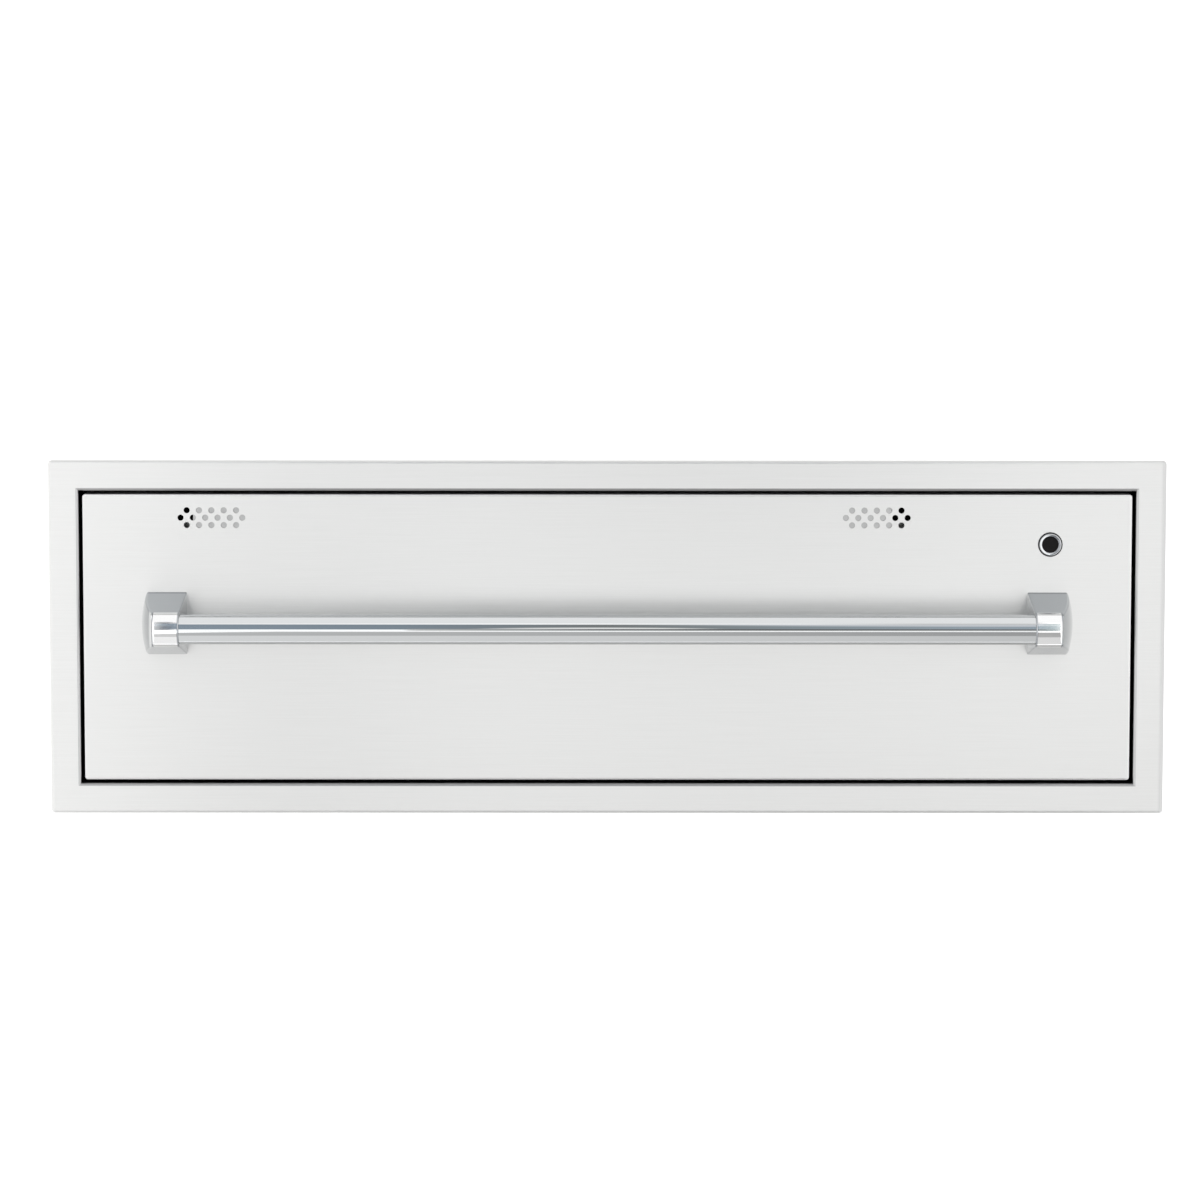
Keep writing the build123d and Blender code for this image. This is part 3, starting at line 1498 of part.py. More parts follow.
with BuildPart() as slide_screws:
    for side in (-1, 1):
        under_head = side * from_wall(slide_thickness - slide_web)
        add(rivets(under_head, side, slide_web + slide_screw_grip, slide_screw_head))
save(slide_screws, "slide_screws")
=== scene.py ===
"""The looks of a built-in warming drawer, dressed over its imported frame.

Metres, Z up, the front towards -Y.
"""

import json
import math

import bmesh
import bpy
from mathutils import Matrix, Vector

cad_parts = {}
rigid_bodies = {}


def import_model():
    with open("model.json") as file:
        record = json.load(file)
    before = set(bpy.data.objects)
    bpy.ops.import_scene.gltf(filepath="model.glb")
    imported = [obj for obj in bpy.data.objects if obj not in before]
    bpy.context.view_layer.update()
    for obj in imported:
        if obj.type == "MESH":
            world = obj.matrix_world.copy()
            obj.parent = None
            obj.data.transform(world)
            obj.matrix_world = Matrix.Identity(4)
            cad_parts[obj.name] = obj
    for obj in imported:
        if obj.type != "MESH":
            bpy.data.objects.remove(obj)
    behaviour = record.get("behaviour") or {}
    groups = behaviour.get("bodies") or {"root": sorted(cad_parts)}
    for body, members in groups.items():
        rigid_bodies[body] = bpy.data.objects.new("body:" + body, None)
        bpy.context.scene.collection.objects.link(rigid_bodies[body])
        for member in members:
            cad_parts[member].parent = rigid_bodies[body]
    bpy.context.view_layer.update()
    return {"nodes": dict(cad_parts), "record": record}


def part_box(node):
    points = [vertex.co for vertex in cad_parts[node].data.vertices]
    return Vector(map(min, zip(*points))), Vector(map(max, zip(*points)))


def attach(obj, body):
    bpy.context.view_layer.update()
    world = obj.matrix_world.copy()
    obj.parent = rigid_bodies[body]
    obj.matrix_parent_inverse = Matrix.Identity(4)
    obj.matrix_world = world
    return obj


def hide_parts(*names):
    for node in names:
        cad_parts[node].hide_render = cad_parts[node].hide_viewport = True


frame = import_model()

mm = 0.001

# ---- Places taken from the frame ----

bar_low, bar_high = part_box("handle_bar")
bar_y = (bar_low[1] + bar_high[1]) / 2
bar_z = (bar_low[2] + bar_high[2]) / 2
bar_radius = (bar_high[2] - bar_low[2]) / 2
bar_half = (bar_high[0] - bar_low[0]) / 2
bezel_low, bezel_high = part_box("switch_bezel")
bezel_inset = 0.2 * mm
dark_ring_width = 1.05 * mm
switch_x = (bezel_low[0] + bezel_high[0]) / 2
switch_z = (bezel_low[2] + bezel_high[2]) / 2
bezel_radius = (bezel_high[0] - bezel_low[0]) / 2 - bezel_inset
dark_ring_inner = bezel_radius - dark_ring_width
mouth_radius = 6.45 * mm
frame_low, frame_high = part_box("trim_frame")
liner_low, liner_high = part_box("cavity_liner")
frame_border = 25 * mm
fold_width = 2.3 * mm
opening_half_width = (frame_high[0] - frame_low[0]) / 2 - frame_border
opening_half_height = (frame_high[2] - frame_low[2]) / 2 - frame_border
skin_low, skin_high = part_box("front_skin")
skin_half_width = (skin_high[0] - skin_low[0]) / 2
skin_half_height = (skin_high[2] - skin_low[2]) / 2
front_y = skin_low[1]
post_low, post_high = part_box("handle_post_right")
nose_offset = 2.7 * mm
nose_width = 19.4 * mm
nose_inner = post_low[0] + nose_offset
nose_outer = nose_inner + nose_width

# ---- Small helpers ----


def linear(hex_colour):
    """An sRGB hex colour as the linear RGBA that shaders take."""
    channels = [int(hex_colour[i : i + 2], 16) / 255 for i in (0, 2, 4)]
    rgb = [c / 12.92 if c <= 0.04045 else ((c + 0.055) / 1.055) ** 2.4 for c in channels]
    return (*rgb, 1.0)


def add(tree, kind, inputs=None, **settings):
    """Adds a node: settings are its own properties, inputs are values or other nodes' sockets."""
    new = tree.nodes.new(kind)
    for name, value in settings.items():
        setattr(new, name, value)
    for name, value in (inputs or {}).items():
        if isinstance(value, bpy.types.NodeSocket):
            tree.links.new(value, new.inputs[name])
        else:
            new.inputs[name].default_value = value
    return new


def calc(tree, operation, *values):
    """One step of arithmetic on sockets or numbers."""
    return add(tree, "ShaderNodeMath", dict(enumerate(values)), operation=operation).outputs[0]


def finish(name, metallic=0.0, **values):
    """A new material with its shader's plain values set. Returns the material, tree and shader."""
    material = bpy.data.materials.new(name)
    material.use_nodes = True
    tree = material.node_tree
    shader = tree.nodes["Principled BSDF"]
    shader.inputs["Metallic"].default_value = metallic
    for socket, value in values.items():
        shader.inputs[socket.replace("_", " ")].default_value = value
    return material, tree, shader


def grain(tree, length_mm, width_mm, detail=3.0):
    """Streaks along X in the object's own space, as long and as wide as the abrasive leaves."""
    place = add(tree, "ShaderNodeTexCoord").outputs["Object"]
    along, across = 1 / (length_mm * mm), 1 / (width_mm * mm)
    scaled = add(tree, "ShaderNodeMapping", {"Vector": place, "Scale": (along, across, across)})
    streaks = {"Vector": scaled.outputs["Vector"], "Scale": 1.0, "Detail": detail}
    streaks["Roughness"] = 0.6
    return add(tree, "ShaderNodeTexNoise", streaks).outputs["Fac"]


def mottle(tree, size_mm, detail=2.0):
    """Soft patches of about this size, the same in every direction."""
    place = add(tree, "ShaderNodeTexCoord").outputs["Object"]
    patches = {"Vector": place, "Scale": 1 / (size_mm * mm), "Detail": detail}
    return add(tree, "ShaderNodeTexNoise", patches).outputs["Fac"]


def spread(tree, factor, low, high):
    """Turns a 0.25..0.75 noise into a value from low to high."""
    limits = {"Value": factor, "From Min": 0.25, "From Max": 0.75, "To Min": low, "To Max": high}
    return add(tree, "ShaderNodeMapRange", limits).outputs["Result"]


def tint(tree, factor, dark, light):
    """A colour between two hex colours, by a noise."""
    mixed = add(tree, "ShaderNodeMix", data_type="RGBA")
    tree.links.new(spread(tree, factor, 0.0, 1.0), mixed.inputs[0])
    mixed.inputs[6].default_value = linear(dark)
    mixed.inputs[7].default_value = linear(light)
    return mixed.outputs[2]


def relief(tree, factor, height_mm):
    """A bump as deep as the real marks."""
    marks = {"Height": factor, "Distance": height_mm * mm, "Strength": 1.0}
    return add(tree, "ShaderNodeBump", marks).outputs["Normal"]


def position(tree, axis):
    """One coordinate of the surface in the object's own space."""
    place = add(tree, "ShaderNodeTexCoord").outputs["Object"]
    return add(tree, "ShaderNodeSeparateXYZ", {"Vector": place}).outputs[axis]


def step(tree, value, start, end):
    """A smooth 0..1 step of a value between two places."""
    limits = {"Value": value, "From Min": start, "From Max": end}
    ramp = add(tree, "ShaderNodeMapRange", limits, interpolation_type="SMOOTHSTEP")
    return ramp.outputs["Result"]


def beyond(tree, axis, half):
    """How far the surface lies outside a middle band of this half width."""
    return calc(tree, "SUBTRACT", calc(tree, "ABSOLUTE", position(tree, axis)), half)


def times(tree, *factors):
    """The product of several masks."""
    result = factors[0]
    for factor in factors[1:]:
        result = calc(tree, "MULTIPLY", result, factor)
    return result


def paint_over(tree, socket, where, value):
    """Blends what feeds the shader's socket into another colour or number where the mask is 1."""
    target = tree.nodes["Principled BSDF"].inputs[socket]
    kind = "RGBA" if socket.endswith("Color") else "FLOAT"
    over = add(tree, "ShaderNodeMix", data_type=kind)
    first, second, result = (6, 7, 2) if kind == "RGBA" else (2, 3, 0)
    tree.links.new(where, over.inputs[0])
    if target.is_linked:
        tree.links.new(target.links[0].from_socket, over.inputs[first])
    else:
        over.inputs[first].default_value = target.default_value
    over.inputs[second].default_value = value
    tree.links.new(over.outputs[result], target)


def recolour(tree, where, hex_colour):
    """Paints another base colour where the mask is 1."""
    paint_over(tree, "Base Color", where, linear(hex_colour))


def dull(tree, where, hex_colour, roughness=0.7):
    """Paints another base colour and a duller sheen where the mask is 1."""
    recolour(tree, where, hex_colour)
    paint_over(tree, "Roughness", where, roughness)


# ---- Materials ----

ACROSS_GRAIN = (0.0, 0.05, 1.0)
SHEET_TONES = ("cccccb", "d1d1d0")
SHEET_ROUGHNESS = 0.34
LINER_STEEL = ("b9bab8", "c6c7c5", 0.36, 0.4, 1.5)


def brushed_steel(name, dark, light, roughness, anisotropic=0.6, width_mm=0.9):
    """Steel or aluminium ground on a belt along X: a soft sheen that smears up and down."""
    material, tree, shader = finish(name, 1.0, Anisotropic=anisotropic)
    lines = grain(tree, 70, width_mm)
    gloss = spread(tree, lines, roughness - 0.03, roughness + 0.03)
    tree.links.new(tint(tree, lines, dark, light), shader.inputs["Base Color"])
    tree.links.new(gloss, shader.inputs["Roughness"])
    across = add(tree, "ShaderNodeCombineXYZ", dict(zip("XYZ", ACROSS_GRAIN)))
    tree.links.new(across.outputs["Vector"], shader.inputs["Tangent"])
    tree.links.new(relief(tree, lines, 0.002), shader.inputs["Normal"])
    return material


def polished_steel(name, colour, roughness):
    """Stainless 304 polished on a mop: a mirror, with only a breath of haze in patches."""
    material, tree, shader = finish(name, 1.0, Base_Color=linear(colour))
    gloss = spread(tree, mottle(tree, 25), roughness - 0.01, roughness + 0.01)
    tree.links.new(gloss, shader.inputs["Roughness"])
    return material


def plain_metal(name, dark, light, roughness, patch_mm):
    """A drawn, rolled or plated metal with faint patches and no grain."""
    material, tree, shader = finish(name, 1.0)
    patches = mottle(tree, patch_mm)
    gloss = spread(tree, patches, roughness - 0.04, roughness + 0.04)
    tree.links.new(tint(tree, patches, dark, light), shader.inputs["Base Color"])
    tree.links.new(gloss, shader.inputs["Roughness"])
    return material


def moulded(name, dark, light, roughness, patch_mm, bump_mm, ior=1.5):
    """A plastic, rubber, glaze or wool: one colour, broken up by its skin."""
    material, tree, shader = finish(name, 0.0, IOR=ior)
    patches = mottle(tree, patch_mm)
    gloss = spread(tree, patches, roughness - 0.05, roughness + 0.05)
    tree.links.new(tint(tree, patches, dark, light), shader.inputs["Base Color"])
    tree.links.new(gloss, shader.inputs["Roughness"])
    tree.links.new(relief(tree, patches, bump_mm), shader.inputs["Normal"])
    return material


def skin_steel(name):
    """The front's ground sheet, with a painted highlight as a thin bright line on its folded rim,
    and painted shade darkening its inside face.
    """
    material = brushed_steel(name, *SHEET_TONES, SHEET_ROUGHNESS)
    tree = material.node_tree
    past_side = beyond(tree, "X", skin_half_width)
    past_top = beyond(tree, "Z", skin_half_height)
    past_edge = calc(tree, "MAXIMUM", past_side, past_top)
    depth = position(tree, "Y")
    # A painted highlight: a thin bright line along the folded rim, on the front face only
    rim = step(tree, past_edge, -1.3 * mm, -0.9 * mm)
    in_front = step(tree, depth, front_y + 1.2 * mm, front_y + 0.8 * mm)
    recolour(tree, times(tree, rim, in_front), "f6f6f6")
    # Painted shade: the inside face behind the front is near black, so the open vent holes look
    # dark
    enclosed = step(tree, past_edge, -1.6 * mm, -2.4 * mm)
    behind = step(tree, depth, front_y + 3 * mm, front_y + 5 * mm)
    dull(tree, times(tree, enclosed, behind), "161617")
    return material


def cast_with_painted_light(name):
    """Cast 304, polished, with painted shade greying its flanks and a painted highlight brightening
    the nose that faces the room.
    """
    material = polished_steel(name, "b6b9bc", 0.05)
    tree = material.node_tree
    # Painted shade: faces turned to the sides are darker grey
    normal = add(tree, "ShaderNodeTexCoord").outputs["Normal"]
    sideways = add(tree, "ShaderNodeSeparateXYZ", {"Vector": normal}).outputs["X"]
    on_flank = step(tree, calc(tree, "ABSOLUTE", sideways), 0.3, 0.6)
    recolour(tree, on_flank, "9fa2a5")

    # A painted highlight makes the nose near white: the band between its two arrises, in front of
    # the bar's middle
    forward = step(tree, position(tree, "Y"), bar_y - 2.3 * mm, bar_y - 2.7 * mm)
    past_inner = beyond(tree, "X", nose_inner)
    past_outer = beyond(tree, "X", nose_outer)
    across = step(tree, past_inner, -0.2 * mm, 0.2 * mm)
    within = step(tree, past_outer, 0.2 * mm, -0.2 * mm)
    recolour(tree, times(tree, forward, across, within), "f4f4f4")

    # A painted highlight: a pale strip on the outer flank of the left end only
    strip_start = step(tree, past_outer, 0.6 * mm, 1.2 * mm)
    strip_end = step(tree, past_outer, 4.6 * mm, 2.6 * mm)
    on_left = step(tree, position(tree, "X"), 10 * mm, -10 * mm)
    recolour(tree, times(tree, strip_start, strip_end, on_left, on_flank), "e6e7e8")

    # Painted shade: grey lines run along the outer arris and along the top and bottom edges
    arris_start = step(tree, past_outer, 0, 0.4 * mm)
    arris_end = step(tree, past_outer, 1.2 * mm, 0.6 * mm)
    recolour(tree, times(tree, forward, arris_start, arris_end), "8a8d90")
    height = position(tree, "Z")
    top_edge = step(tree, height, post_high[2] - 1.1 * mm, post_high[2] - 0.4 * mm)
    low_edge = step(tree, height, post_low[2] + 1.1 * mm, post_low[2] + 0.4 * mm)
    for edge in (top_edge, low_edge):
        recolour(tree, edge, "8d9093")
    return material


def tube_steel(name):
    """Stainless tube mopped to a mirror, with painted shade making it a little greyer underneath.
    """
    material = polished_steel(name, "d7d9da", 0.03)
    tree = material.node_tree
    # Painted shade: a grey band along the underside of the bar
    painted_shade_from, painted_shade_full = bar_z - 0.90 * bar_radius, bar_z - 0.96 * bar_radius
    recolour(tree, step(tree, position(tree, "Z"), painted_shade_from, painted_shade_full), "a6a8a9")
    return material


def ringed_steel(name):
    """Turned and polished 304, with painted shade on the right of its dished mouth and a dark ring
    of painted contact shade round its foot.
    """
    material = polished_steel(name, "d2d4d6", 0.06)
    tree = material.node_tree
    in_plane = {"X": position(tree, "X"), "Z": position(tree, "Z")}
    place = add(tree, "ShaderNodeCombineXYZ", in_plane).outputs[0]
    middle = {0: place, 1: (switch_x, 0, switch_z)}
    radius = add(tree, "ShaderNodeVectorMath", middle, operation="DISTANCE").outputs["Value"]
    # Painted shade: the dished mouth is darker grey on its right side
    dish = step(tree, radius, mouth_radius + 2.0 * mm, mouth_radius + 1.6 * mm)
    right_side = step(tree, position(tree, "X"), switch_x - 1 * mm, switch_x + 5 * mm)
    recolour(tree, times(tree, dish, right_side), "8a8c90")
    # Painted contact shade: a dark ring round the foot
    painted_contact_ring = step(tree, radius, dark_ring_inner - 0.1 * mm, dark_ring_inner + 0.1 * mm)
    dull(tree, painted_contact_ring, "3a3a3c", 0.5)
    return material


def dull_black(name):
    """Black moulded cap with a sparked grain, deep in its ring."""
    material = moulded(name, "060607", "1b191a", 0.85, 0.6, 0.03)
    shader = material.node_tree.nodes["Principled BSDF"]
    shader.inputs["Specular IOR Level"].default_value = 0.12
    return material


def framed_steel(name):
    """The same ground sheet with its lip folded round the opening, with painted shade: greyer on
    the fold, darker on its top and bottom and along the right edge, and dark inside.
    """
    material = brushed_steel(name, *SHEET_TONES, SHEET_ROUGHNESS)
    tree = material.node_tree
    past_side = beyond(tree, "X", opening_half_width)
    past_top = beyond(tree, "Z", opening_half_height)
    past_edge = calc(tree, "MAXIMUM", past_side, past_top)
    # Painted shade: the fold round the opening is greyer
    fold = step(tree, past_edge, fold_width + 0.3 * mm, fold_width - 0.3 * mm)
    recolour(tree, fold, "b2b2b2")
    # Painted shade: the top and bottom of the fold are darker than its sides
    level = calc(tree, "SUBTRACT", past_top, past_side)
    on_level_edge = step(tree, level, -1 * mm, 1 * mm)
    recolour(tree, times(tree, fold, on_level_edge), "9c9c9c")
    # Painted shade along the frame's right outer edge
    from_right = (frame_high[0] - 5 * mm, frame_high[0] - 1 * mm)
    recolour(tree, step(tree, position(tree, "X"), *from_right), "b9b9b9")
    # Painted shade: the collar behind the fold is near black, so the gap round the drawer looks
    # dark
    near_opening = step(tree, past_edge, 8 * mm, 6 * mm)
    from_front = (frame_low[1] + 2.2 * mm, frame_low[1] + 3.2 * mm)
    deep = step(tree, position(tree, "Y"), *from_front)
    dull(tree, times(tree, near_opening, deep), "121213")
    return material


def dark_mouthed_steel(name):
    """Rolled 430 whose flange, up against the gasket, is painted near black as shade, so the gap
    round the drawer looks dark.
    """
    material = brushed_steel(name, *LINER_STEEL)
    tree = material.node_tree
    # Painted shade: the front flange is near black
    from_front = (liner_low[1] + 3 * mm, liner_low[1] + 2 * mm)
    dull(tree, step(tree, position(tree, "Y"), *from_front), "161616")
    return material


# By the slot of the frame that the part's record gives each node
slot_finish = {
    "polished_steel": tube_steel("polished_304_tube"),
    "galvanised": plain_metal("galvanised_sheet", "9da2a5", "b9bec1", 0.38, 14),
    "liner_steel": brushed_steel("mill_rolled_430", *LINER_STEEL),
    "pan_steel": brushed_steel("drawn_304_pan", "cfd0d0", "dadbdb", 0.28, 0.4),
    "zinc_slide": plain_metal("bright_zinc_plate", "a9b0b6", "bcc3c8", 0.24, 10),
    "ball_steel": plain_metal("ground_ball_steel", "d5d7d9", "e0e2e4", 0.06, 3),
    "wire_chrome": plain_metal("chrome_plated_wire", "c9cccf", "d6d9dc", 0.10, 20),
    "screw_steel": plain_metal("passivated_screw_steel", "aeb0b0", "c2c4c4", 0.25, 3),
    "element_sheath": plain_metal("annealed_incoloy_sheath", "4c4742", "615a52", 0.45, 12),
    "wool": moulded("glass_wool_board", "b7a66b", "d6c88f", 0.95, 4, 0.8),
    "silicone": moulded("extruded_grey_silicone", "3c3d3f", "484a4c", 0.6, 2, 0.02, 1.41),
    "black_plastic": moulded("moulded_black_nylon", "141415", "1d1d1e", 0.42, 1, 0.01, 1.53),
    "dial_plate": brushed_steel("spun_aluminium_dial", "c6c8c9", "d2d4d5", 0.35, 0.4, 0.4),
    "white_ceramic": moulded("glazed_steatite", "d9d6cc", "e6e3da", 0.25, 6, 0.02, 1.6),
    "copper_bulb": plain_metal("drawn_copper", "a5674a", "b87a58", 0.28, 8),
}

# Nodes whose looks differ from the others of their slot
own_finish = {
    "trim_frame": framed_steel("folded_304_frame"),
    "front_skin": skin_steel("folded_304_front"),
    "handle_post_left": cast_with_painted_light("polished_cast_304_painted_light"),
    "switch_bezel": ringed_steel("turned_304_ring"),
    "switch_button": dull_black("sparked_black_cap"),
    "cavity_liner": dark_mouthed_steel("liner_430_painted_shade"),
    "damper_left": plain_metal("rolled_damper_strip", "a2a2a2", "b2b2b2", 0.45, 9),
    # Painted shade: the vent ducts are near black, so the open vent holes look dark
    "vent_duct_left": moulded("duct_black_painted_shade", "0b0b0c", "131314", 0.8, 3, 0.02),
}
for pair in ("damper", "vent_duct", "handle_post"):
    own_finish[pair + "_right"] = own_finish[pair + "_left"]

node_slot = {part["node"]: part["material_slot"] for part in frame["record"]["subparts"]}


def finish_of(node):
    """The material that a node of the frame wears."""
    return own_finish.get(node) or slot_finish[node_slot[node]]


for node, cad_object in frame["nodes"].items():
    for place in cad_object.material_slots:
        place.material = finish_of(node)

# ---- Mesh pieces ----


def piece(name, mesh, body, *nodes):
    """A finished piece that stands for one or more nodes of the frame and moves with their body."""
    made = bpy.data.objects.new(name, mesh)
    bpy.context.scene.collection.objects.link(made)
    made.data.materials.append(finish_of(nodes[0]))
    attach(made, body)
    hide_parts(*nodes)
    return made


def smooth_by_angle(mesh, degrees=35):
    """Smooth faces, with a hard edge wherever two faces meet at more than this angle."""
    work = bmesh.new()
    work.from_mesh(mesh)
    limit = math.radians(degrees)
    for face in work.faces:
        face.smooth = True
    for edge in work.edges:
        edge.smooth = len(edge.link_faces) == 2 and edge.calc_face_angle(0.0) < limit
    work.to_mesh(mesh)
    work.free()


def turned(name, outline, centre, axis, sides=96):
    """Spins a closed outline of (distance along the axis, radius) points round the axis."""
    work = bmesh.new()
    along = Vector(axis)
    out = Vector((0, 0, 1))
    rings = []
    for k in range(sides):
        turn = Matrix.Rotation(2 * math.pi * k / sides, 4, along)
        arm = turn @ out
        rings.append([work.verts.new(Vector(centre) + along * d + arm * r) for d, r in outline])
    for k in range(sides):
        here, after = rings[k], rings[(k + 1) % sides]
        for j in range(len(outline)):
            nxt = (j + 1) % len(outline)
            work.faces.new((here[j], here[nxt], after[nxt], after[j]))
    bmesh.ops.remove_doubles(work, verts=work.verts, dist=1e-7)
    bmesh.ops.recalc_face_normals(work, faces=work.faces)
    mesh = bpy.data.meshes.new(name)
    work.to_mesh(mesh)
    work.free()
    smooth_by_angle(mesh)
    return mesh


bar_wall = 1.5 * mm
bar_outline = [
    (-bar_half, bar_radius),
    (bar_half, bar_radius),
    (bar_half, bar_radius - bar_wall),
    (-bar_half, bar_radius - bar_wall),
]
bar_mesh = turned("handle_bar_fine", bar_outline, (0, bar_y, bar_z), (1, 0, 0))
piece("handle_bar_tube", bar_mesh, "drawer", "handle_bar")

# The switch's ring: a narrow foot painted dark as contact shade, a rounded crown and a dished mouth
# down to the cap
crown = front_y - bezel_low[1]
barrel_end = front_y - bezel_high[1]
barrel_radius = 8.0 * mm
bore_radius = 6.9 * mm
lip_radius = mouth_radius + 0.05 * mm
lip_depth = 1.6 * mm
bezel_outline = [
    (barrel_end, barrel_radius),
    (0, barrel_radius),
    (0, bezel_radius),
    (0.5 * mm, bezel_radius),
    (0.7 * mm, bezel_radius - 0.15 * mm),
    (0.8 * mm, dark_ring_inner + 0.1 * mm),
    (crown - 1.0 * mm, dark_ring_inner),
    (crown - 0.35 * mm, dark_ring_inner - 0.25 * mm),
    (crown, dark_ring_inner - 0.6 * mm),
    (crown, dark_ring_inner - 0.8 * mm),
    (crown - 0.3 * mm, mouth_radius + 1.0 * mm),
    (crown - lip_depth + 0.15 * mm, lip_radius),
    (crown - lip_depth, lip_radius),
    (crown - lip_depth, bore_radius),
    (barrel_end, bore_radius),
]
bezel_mesh = turned("switch_ring", bezel_outline, (switch_x, front_y, switch_z), (0, -1, 0))
piece("switch_ring_fine", bezel_mesh, "drawer", "switch_bezel")

# ---- The room: a floor, and cards that the polished pieces mirror ----

floor_drop = 0.75
floor_half = 30.0
room_light = 1.5


def sheet(name, rows):
    """A sheet through rows of points, part of the set and not of the object."""
    mesh = bpy.data.meshes.new(name)
    faces = [(2 * k, 2 * k + 1, 2 * k + 3, 2 * k + 2) for k in range(len(rows) - 1)]
    mesh.from_pydata([point for row in rows for point in row], [], faces)
    made = bpy.data.objects.new(name, mesh)
    bpy.context.scene.collection.objects.link(made)
    return made


def flat(name, left, right, near, far, height):
    """A level sheet."""
    return sheet(name, [[(left, y, height), (right, y, height)] for y in (near, far)])


def arch(name, left, right, low, high, away, bends=8):
    """A sheet bent round the handle's bar at one distance, between two elevations in degrees."""
    rows = []
    for k in range(bends + 1):
        angle = math.radians(low + (high - low) * k / bends)
        y, z = -away * math.cos(angle), bar_z + away * math.sin(angle)
        rows.append([(left, y, z), (right, y, z)])
    return sheet(name, rows)


floor = flat("studio_floor", -floor_half, floor_half, -floor_half, floor_half, -floor_drop)
floor_colour = linear("f8f8f8")
floor_paint = finish("matt_white_floor", 0.0, Base_Color=floor_colour, Roughness=0.9)[0]
floor.data.materials.append(floor_paint)

world = bpy.data.worlds.new("white_room")
bpy.context.scene.world = world
world.use_nodes = True
background = world.node_tree.nodes["Background"]
background.inputs["Color"].default_value = (1, 1, 1, 1)
background.inputs["Strength"].default_value = room_light

bpy.context.scene.view_settings.view_transform = "Standard"
bpy.context.scene.view_settings.look = "None"


def glow(made, colours, shine=1.0):
    """Makes a sheet that only reflections see. Colours is a list of (x in metres, hex).

    Returns the tree of its paint.
    """
    made.visible_camera = False
    made.visible_shadow = False
    made.visible_diffuse = False
    black = (0, 0, 0, 1)
    paint, tree, shader = finish(made.name + "_paint", 0.0, Base_Color=black, Roughness=1.0)
    shader.inputs["Specular IOR Level"].default_value = 0.0
    left, right = colours[0][0], colours[-1][0]
    reach = {"Value": position(tree, "X"), "From Min": left, "From Max": right}
    across = add(tree, "ShaderNodeMapRange", reach).outputs["Result"]
    ramp = add(tree, "ShaderNodeValToRGB", {"Fac": across})
    stops = ramp.color_ramp.elements
    stops[0].color, stops[-1].color = linear(colours[0][1]), linear(colours[-1][1])
    for x, colour in colours[1:-1]:
        stops.new((x - left) / (right - left)).color = linear(colour)
    tree.links.new(ramp.outputs["Color"], shader.inputs["Emission Color"])
    shader.inputs["Emission Strength"].default_value = shine
    made.data.materials.append(paint)
    return tree


def patch(tree, centre, radii, colour):
    """A soft oval of another colour on a card, at (x, z) with (x, z) radii."""
    squares = []
    for axis, middle, radius in zip("XZ", centre, radii):
        share = calc(tree, "DIVIDE", calc(tree, "SUBTRACT", position(tree, axis), middle), radius)
        squares.append(calc(tree, "POWER", share, 2.0))
    oval = step(tree, calc(tree, "ADD", *squares), 1.4, 0.3)
    paint_over(tree, "Emission Color", oval, linear(colour))


# The polished bar shows the far end of the room: a blue-grey wall from 6 to 45 degrees up,
# with a pale window low in its middle and a bright cornice along its top
wall_distance = 4.2
wall_left, wall_right = -0.749, 0.770
wall_low, wall_high, cornice_high = 6, 45, 56


def rise(degrees):
    """How high the far wall stands at this elevation, seen from the bar."""
    return bar_z + math.sin(math.radians(degrees)) * wall_distance


far_wall = arch("far_wall", wall_left, wall_right, wall_low, wall_high, wall_distance)
wall_colours = [
    (wall_left, "96a3af"),
    (-0.33, "8c98a2"),
    (0.0, "868888"),
    (0.33, "96a0a6"),
    (0.65, "a6b2bc"),
    (wall_right, "a6b2bc"),
]
wall_paint = glow(far_wall, wall_colours, 1.09)
patch(wall_paint, (-0.01, rise(11)), (0.2, 0.8), "fbfbfa")
patch(wall_paint, (0.75, rise(48)), (0.65, 1.1), "dcdfe4")
cornice = arch("cornice", wall_left, wall_right, wall_high, cornice_high, wall_distance)
cornice_colours = [
    (wall_left, "efeeed"),
    (-0.16, "fdfdfd"),
    (0.33, "f0f0f0"),
    (0.57, "c8c8c8"),
    (wall_right, "c8c8c8"),
]
glow(cornice, cornice_colours, 1.36)

# Two doorways beside the wall show as the blue bands on the noses of the handle's ends
door_left, door_right = -0.784, 0.798
left_door = arch("left_doorway", door_left, wall_left, 1, 58, wall_distance)
left_paint = glow(left_door, [(door_left, "203142"), (wall_left, "2b3c4d")])
patch(left_paint, (-0.766, rise(34)), (0.009, 0.55), "93a6b6")
right_door = arch("right_doorway", wall_right, door_right, -2, 46, wall_distance)
right_paint = glow(right_door, [(wall_right, "64878d"), (door_right, "7d9c9f")])
patch(right_paint, (0.787, rise(34)), (0.004, 0.3), "dfeaea")

# A dark sill under the wall, then a paler foot, show as two fine lines along the bar
sill_left = -0.34
sill_low, sill_high, foot_low = 3.5, 10.5, -4
sill_distance = wall_distance - 0.02
sill_colours = [
    (sill_left, "b4b5b5"),
    (-0.14, "9c9d9d"),
    (0.0, "6c6d6d"),
    (0.14, "626363"),
    (0.34, "666768"),
    (wall_right, "787a7b"),
]
foot_colours = [
    (sill_left, "f0f0f0"),
    (-0.14, "d4d5d5"),
    (0.0, "c8c9c9"),
    (0.14, "c0c1c1"),
    (0.34, "bcbdbd"),
    (wall_right, "c4c5c5"),
]
wall_sill = arch("wall_sill", sill_left, wall_right, sill_low, sill_high, sill_distance)
glow(wall_sill, sill_colours, 1.2)
wall_foot = arch("wall_foot", sill_left, wall_right, foot_low, sill_low, sill_distance)
glow(wall_foot, foot_colours)

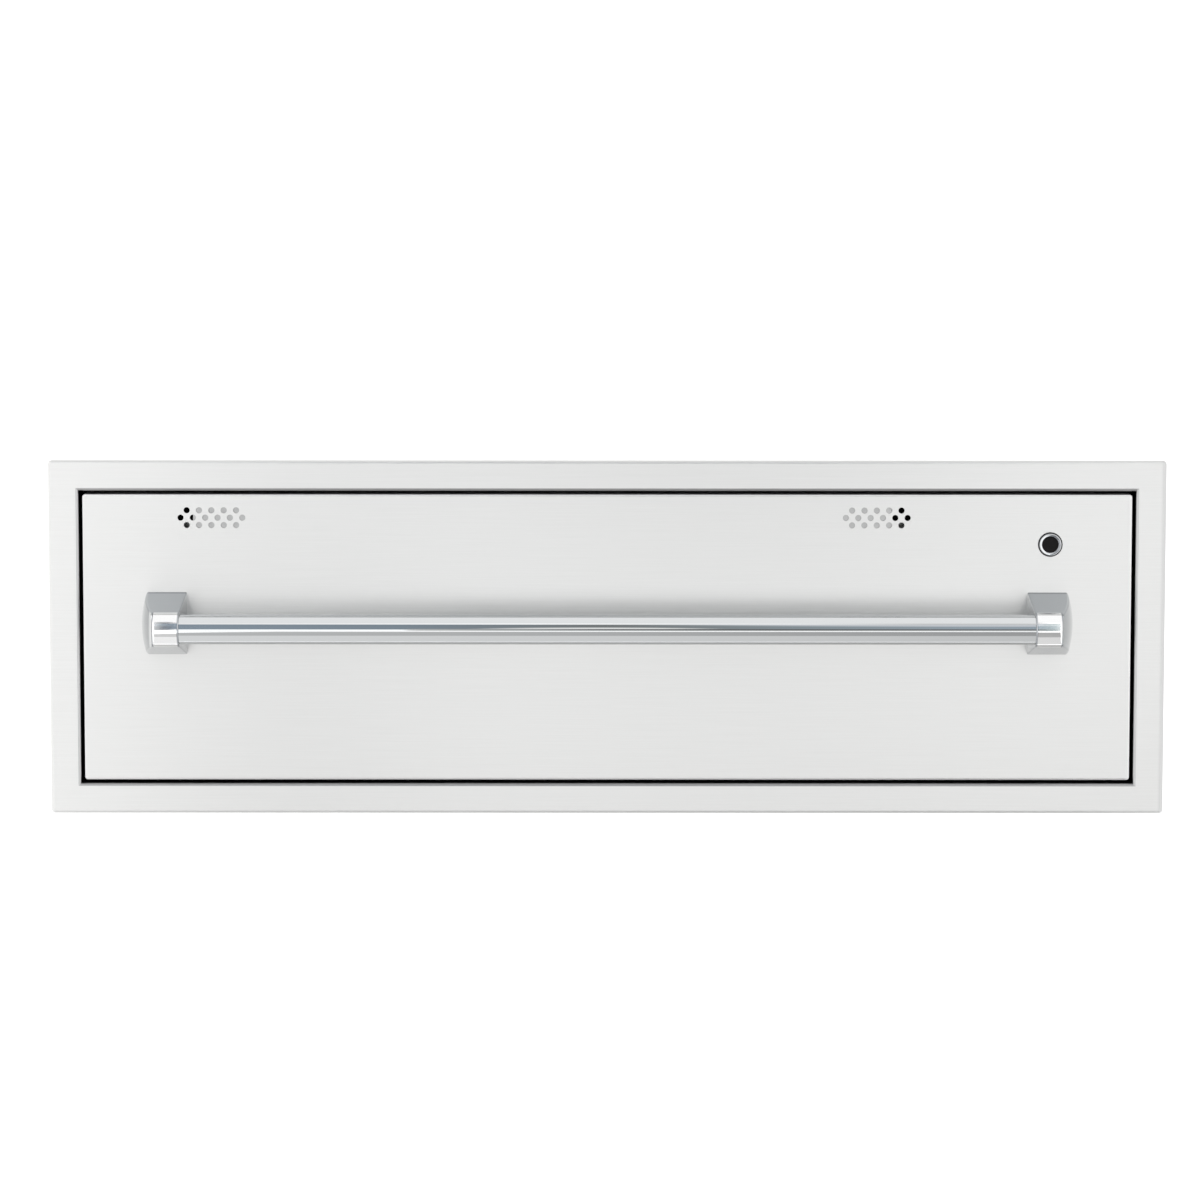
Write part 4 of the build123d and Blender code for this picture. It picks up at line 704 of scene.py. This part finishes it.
# A white ceiling from 55 degrees up in front to 50 degrees up behind
ceiling_height = 3.0
ceiling_half = 3.0
ceiling_front = -ceiling_height / math.tan(math.radians(55))
ceiling_back = ceiling_height * math.tan(math.radians(40))
ceiling = flat(
    "ceiling", -ceiling_half, ceiling_half, ceiling_front, ceiling_back, ceiling_height
)
glow(ceiling, [(-ceiling_half, "ffffff"), (ceiling_half, "ffffff")], 1.08)

# A grey mat on the floor in front shows as the band under the bar's bright horizon line
mat_half, mat_right = 0.55, 0.80
mat_near, mat_far = bar_y - 0.80, bar_y - 3.85
mat_height = -floor_drop + 0.01
mat_colours = [(-mat_half, "efefef"), (0.0, "e0e0e0"), (mat_half, "c7c7c7"), (mat_right, "c0c0c0")]
floor_mat = flat("floor_mat", -mat_half, mat_right, mat_far, mat_near, mat_height)
glow(floor_mat, mat_colours, 0.78)
near_colours = [(-mat_half, "fdfdfd"), (0.0, "f1f1f1"), (mat_half, "e2e2e2")]
under_front = frame_low[1] + 0.1
floor_near = flat("floor_near", -mat_half, mat_half, mat_near, under_front, mat_height)
glow(floor_near, near_colours, 0.97)

# ---- Lamps and camera ----

mirror_pieces = {"handle_post_left", "handle_post_right", "handle_bar", "handle_bar_tube"}
mirror_pieces |= {"switch_bezel", "switch_ring_fine"}
cards = {"far_wall", "cornice", "left_doorway", "right_doorway", "wall_sill", "wall_foot"}
cards |= {"ceiling", "floor_mat", "floor_near"}
lit_by_front = bpy.data.collections.new("lit_by_front_window")
for made in list(bpy.data.objects):
    if made.type == "MESH" and made.name not in mirror_pieces | cards:
        lit_by_front.objects.link(made)


def lamp(name, left, right, low, high, distance, radiance):
    """An upright window in front that lights all but the mirrors and the cards."""
    light = bpy.data.lights.new(name, "AREA")
    light.shape = "RECTANGLE"
    light.size = right - left
    light.size_y = high - low
    light.energy = radiance * math.pi * light.size * light.size_y
    made = bpy.data.objects.new(name, light)
    bpy.context.scene.collection.objects.link(made)
    made.location = ((left + right) / 2, -distance, (low + high) / 2)
    made.rotation_euler = (math.radians(90), 0, 0)
    made.visible_camera = False
    made.light_linking.receiver_collection = lit_by_front
    made.light_linking.blocker_collection = lit_by_front


lamp("front_window", -1.1, 0.9, 0.2, 4.1, distance=4.19, radiance=1.25)
lamp("low_window", -0.26, 0.60, -0.50, 0.15, distance=1.5, radiance=0.72)

# The photograph's view: 5.6 degrees above level, from 3.63 m, with a long lens
camera_rise = math.radians(5.6)
camera_roll = math.radians(0.03)
camera_distance = 3.63
aim = Vector((-5.9 * mm, frame_low[1], 31.1 * mm))
camera_data = bpy.data.cameras.new("camera")
camera_data.sensor_width = 36.0
camera_data.lens = 132.97
camera = bpy.data.objects.new("camera", camera_data)
bpy.context.scene.collection.objects.link(camera)
back_to_camera = Vector((0, -math.cos(camera_rise), math.sin(camera_rise)))
camera.location = aim + back_to_camera * camera_distance
look = (-back_to_camera).to_track_quat("-Z", "Y").to_matrix().to_4x4()
camera.matrix_world = (
    Matrix.Translation(camera.location) @ look @ Matrix.Rotation(camera_roll, 4, "Z")
)
bpy.context.scene.camera = camera
